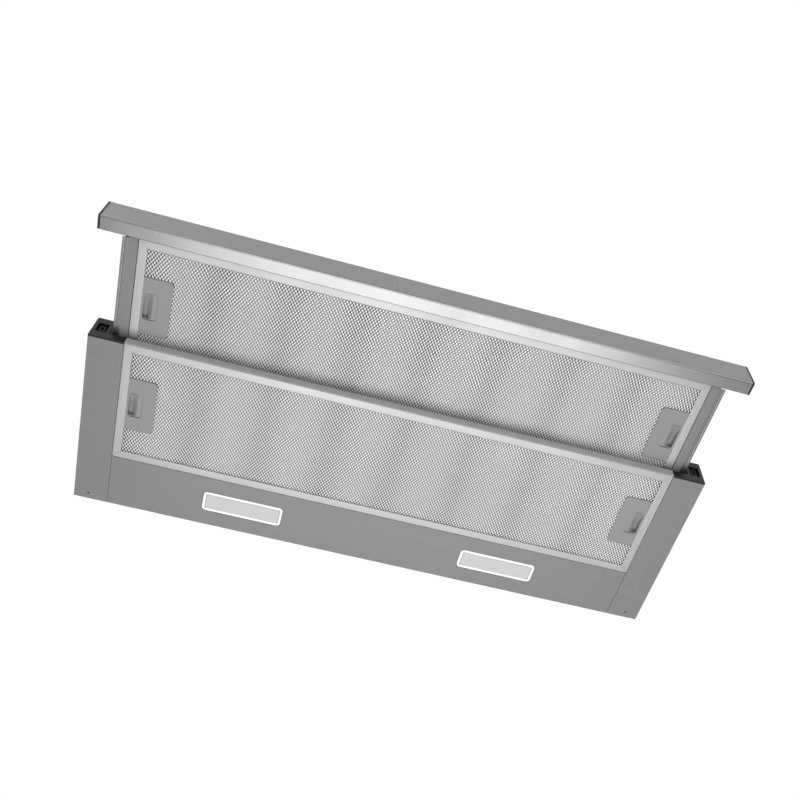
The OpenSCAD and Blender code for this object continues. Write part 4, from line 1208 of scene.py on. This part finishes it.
class HOOD_OT_blower(bpy.types.Operator):
    """Twin blower: scrolls, plenum, motor, capacitor and fan wheels"""

    bl_idname = "hood.blower"
    bl_label = "Blower"

    def execute(self, context):
        dress("galvanised", "scroll_left", "scroll_right", "plenum")
        dress("cast_metal", "motor")
        dress("can_metal", "capacitor")
        dress("wheel_metal", "fan_wheel_left", "fan_wheel_right")
        dress("ball_steel", "fan_shaft")
        return {"FINISHED"}


class HOOD_OT_outlet(bpy.types.Operator):
    """Duct collar with its flaps, cable gland and electrical boxes"""

    bl_idname = "hood.outlet"
    bl_label = "Outlet"

    def execute(self, context):
        dress("black_moulding", "outlet_collar", "cable_gland", "terminal_box", "led_driver")
        dress("flap_moulding", "flap_rear", "flap_front")
        dress("ball_steel", "flap_rod")
        return {"FINISHED"}


class HOOD_OT_controls(bpy.types.Operator):
    """Control strip behind the bar, with its sliders and the tray switch"""

    bl_idname = "hood.controls"
    bl_label = "Controls"

    def execute(self, context):
        dress("black_moulding", "control_strip", "tray_switch")
        dress("white_moulding", "speed_slider", "light_slider")
        return {"FINISHED"}


PIECES = (
    HOOD_OT_front_bar, HOOD_OT_bar_caps, HOOD_OT_filter_borders, HOOD_OT_filter_mesh, HOOD_OT_latches,
    HOOD_OT_catches, HOOD_OT_side_boxes, HOOD_OT_end_caps, HOOD_OT_light_panel, HOOD_OT_lamps, HOOD_OT_tray,
    HOOD_OT_slides, HOOD_OT_housing, HOOD_OT_blower, HOOD_OT_outlet, HOOD_OT_controls, HOOD_OT_stage,
)


class HOOD_PT_panel(bpy.types.Panel):
    """Lists the sizes, the colours and the pieces"""

    bl_idname = "HOOD_PT_panel"
    bl_label = "Range Hood"
    bl_space_type = "VIEW_3D"
    bl_region_type = "UI"
    bl_category = "Range Hood"

    def draw(self, context):
        for group in (context.scene.hood_sizes, context.scene.hood_colours, context.scene.hood_stage):
            column = self.layout.column(align=True)
            for name in group.bl_rna.properties.keys():
                if name not in ("rna_type", "name"):
                    column.prop(group, name)
        column = self.layout.column(align=True)
        for operator in PIECES:
            column.operator(operator.bl_idname)


GROUPS = (("hood_sizes", HoodSizes), ("hood_colours", HoodColours), ("hood_stage", HoodStage))


def register():
    """Registers the settings, the operators and the panel."""
    for name, group in GROUPS:
        bpy.utils.register_class(group)
        setattr(bpy.types.Scene, name, bpy.props.PointerProperty(type=group))
    for operator in PIECES:
        bpy.utils.register_class(operator)
    bpy.utils.register_class(HOOD_PT_panel)


def unregister():
    """Takes everything out again, in the opposite order."""
    bpy.utils.unregister_class(HOOD_PT_panel)
    for operator in reversed(PIECES):
        bpy.utils.unregister_class(operator)
    for name, group in reversed(GROUPS):
        delattr(bpy.types.Scene, name)
        bpy.utils.unregister_class(group)


def main():
    """Builds every piece in order."""
    register()
    make_finishes(bpy.context.scene.hood_colours)
    for operator in PIECES:
        group, name = operator.bl_idname.split(".")
        getattr(getattr(bpy.ops, group), name)()


if __name__ == "__main__":
    main()
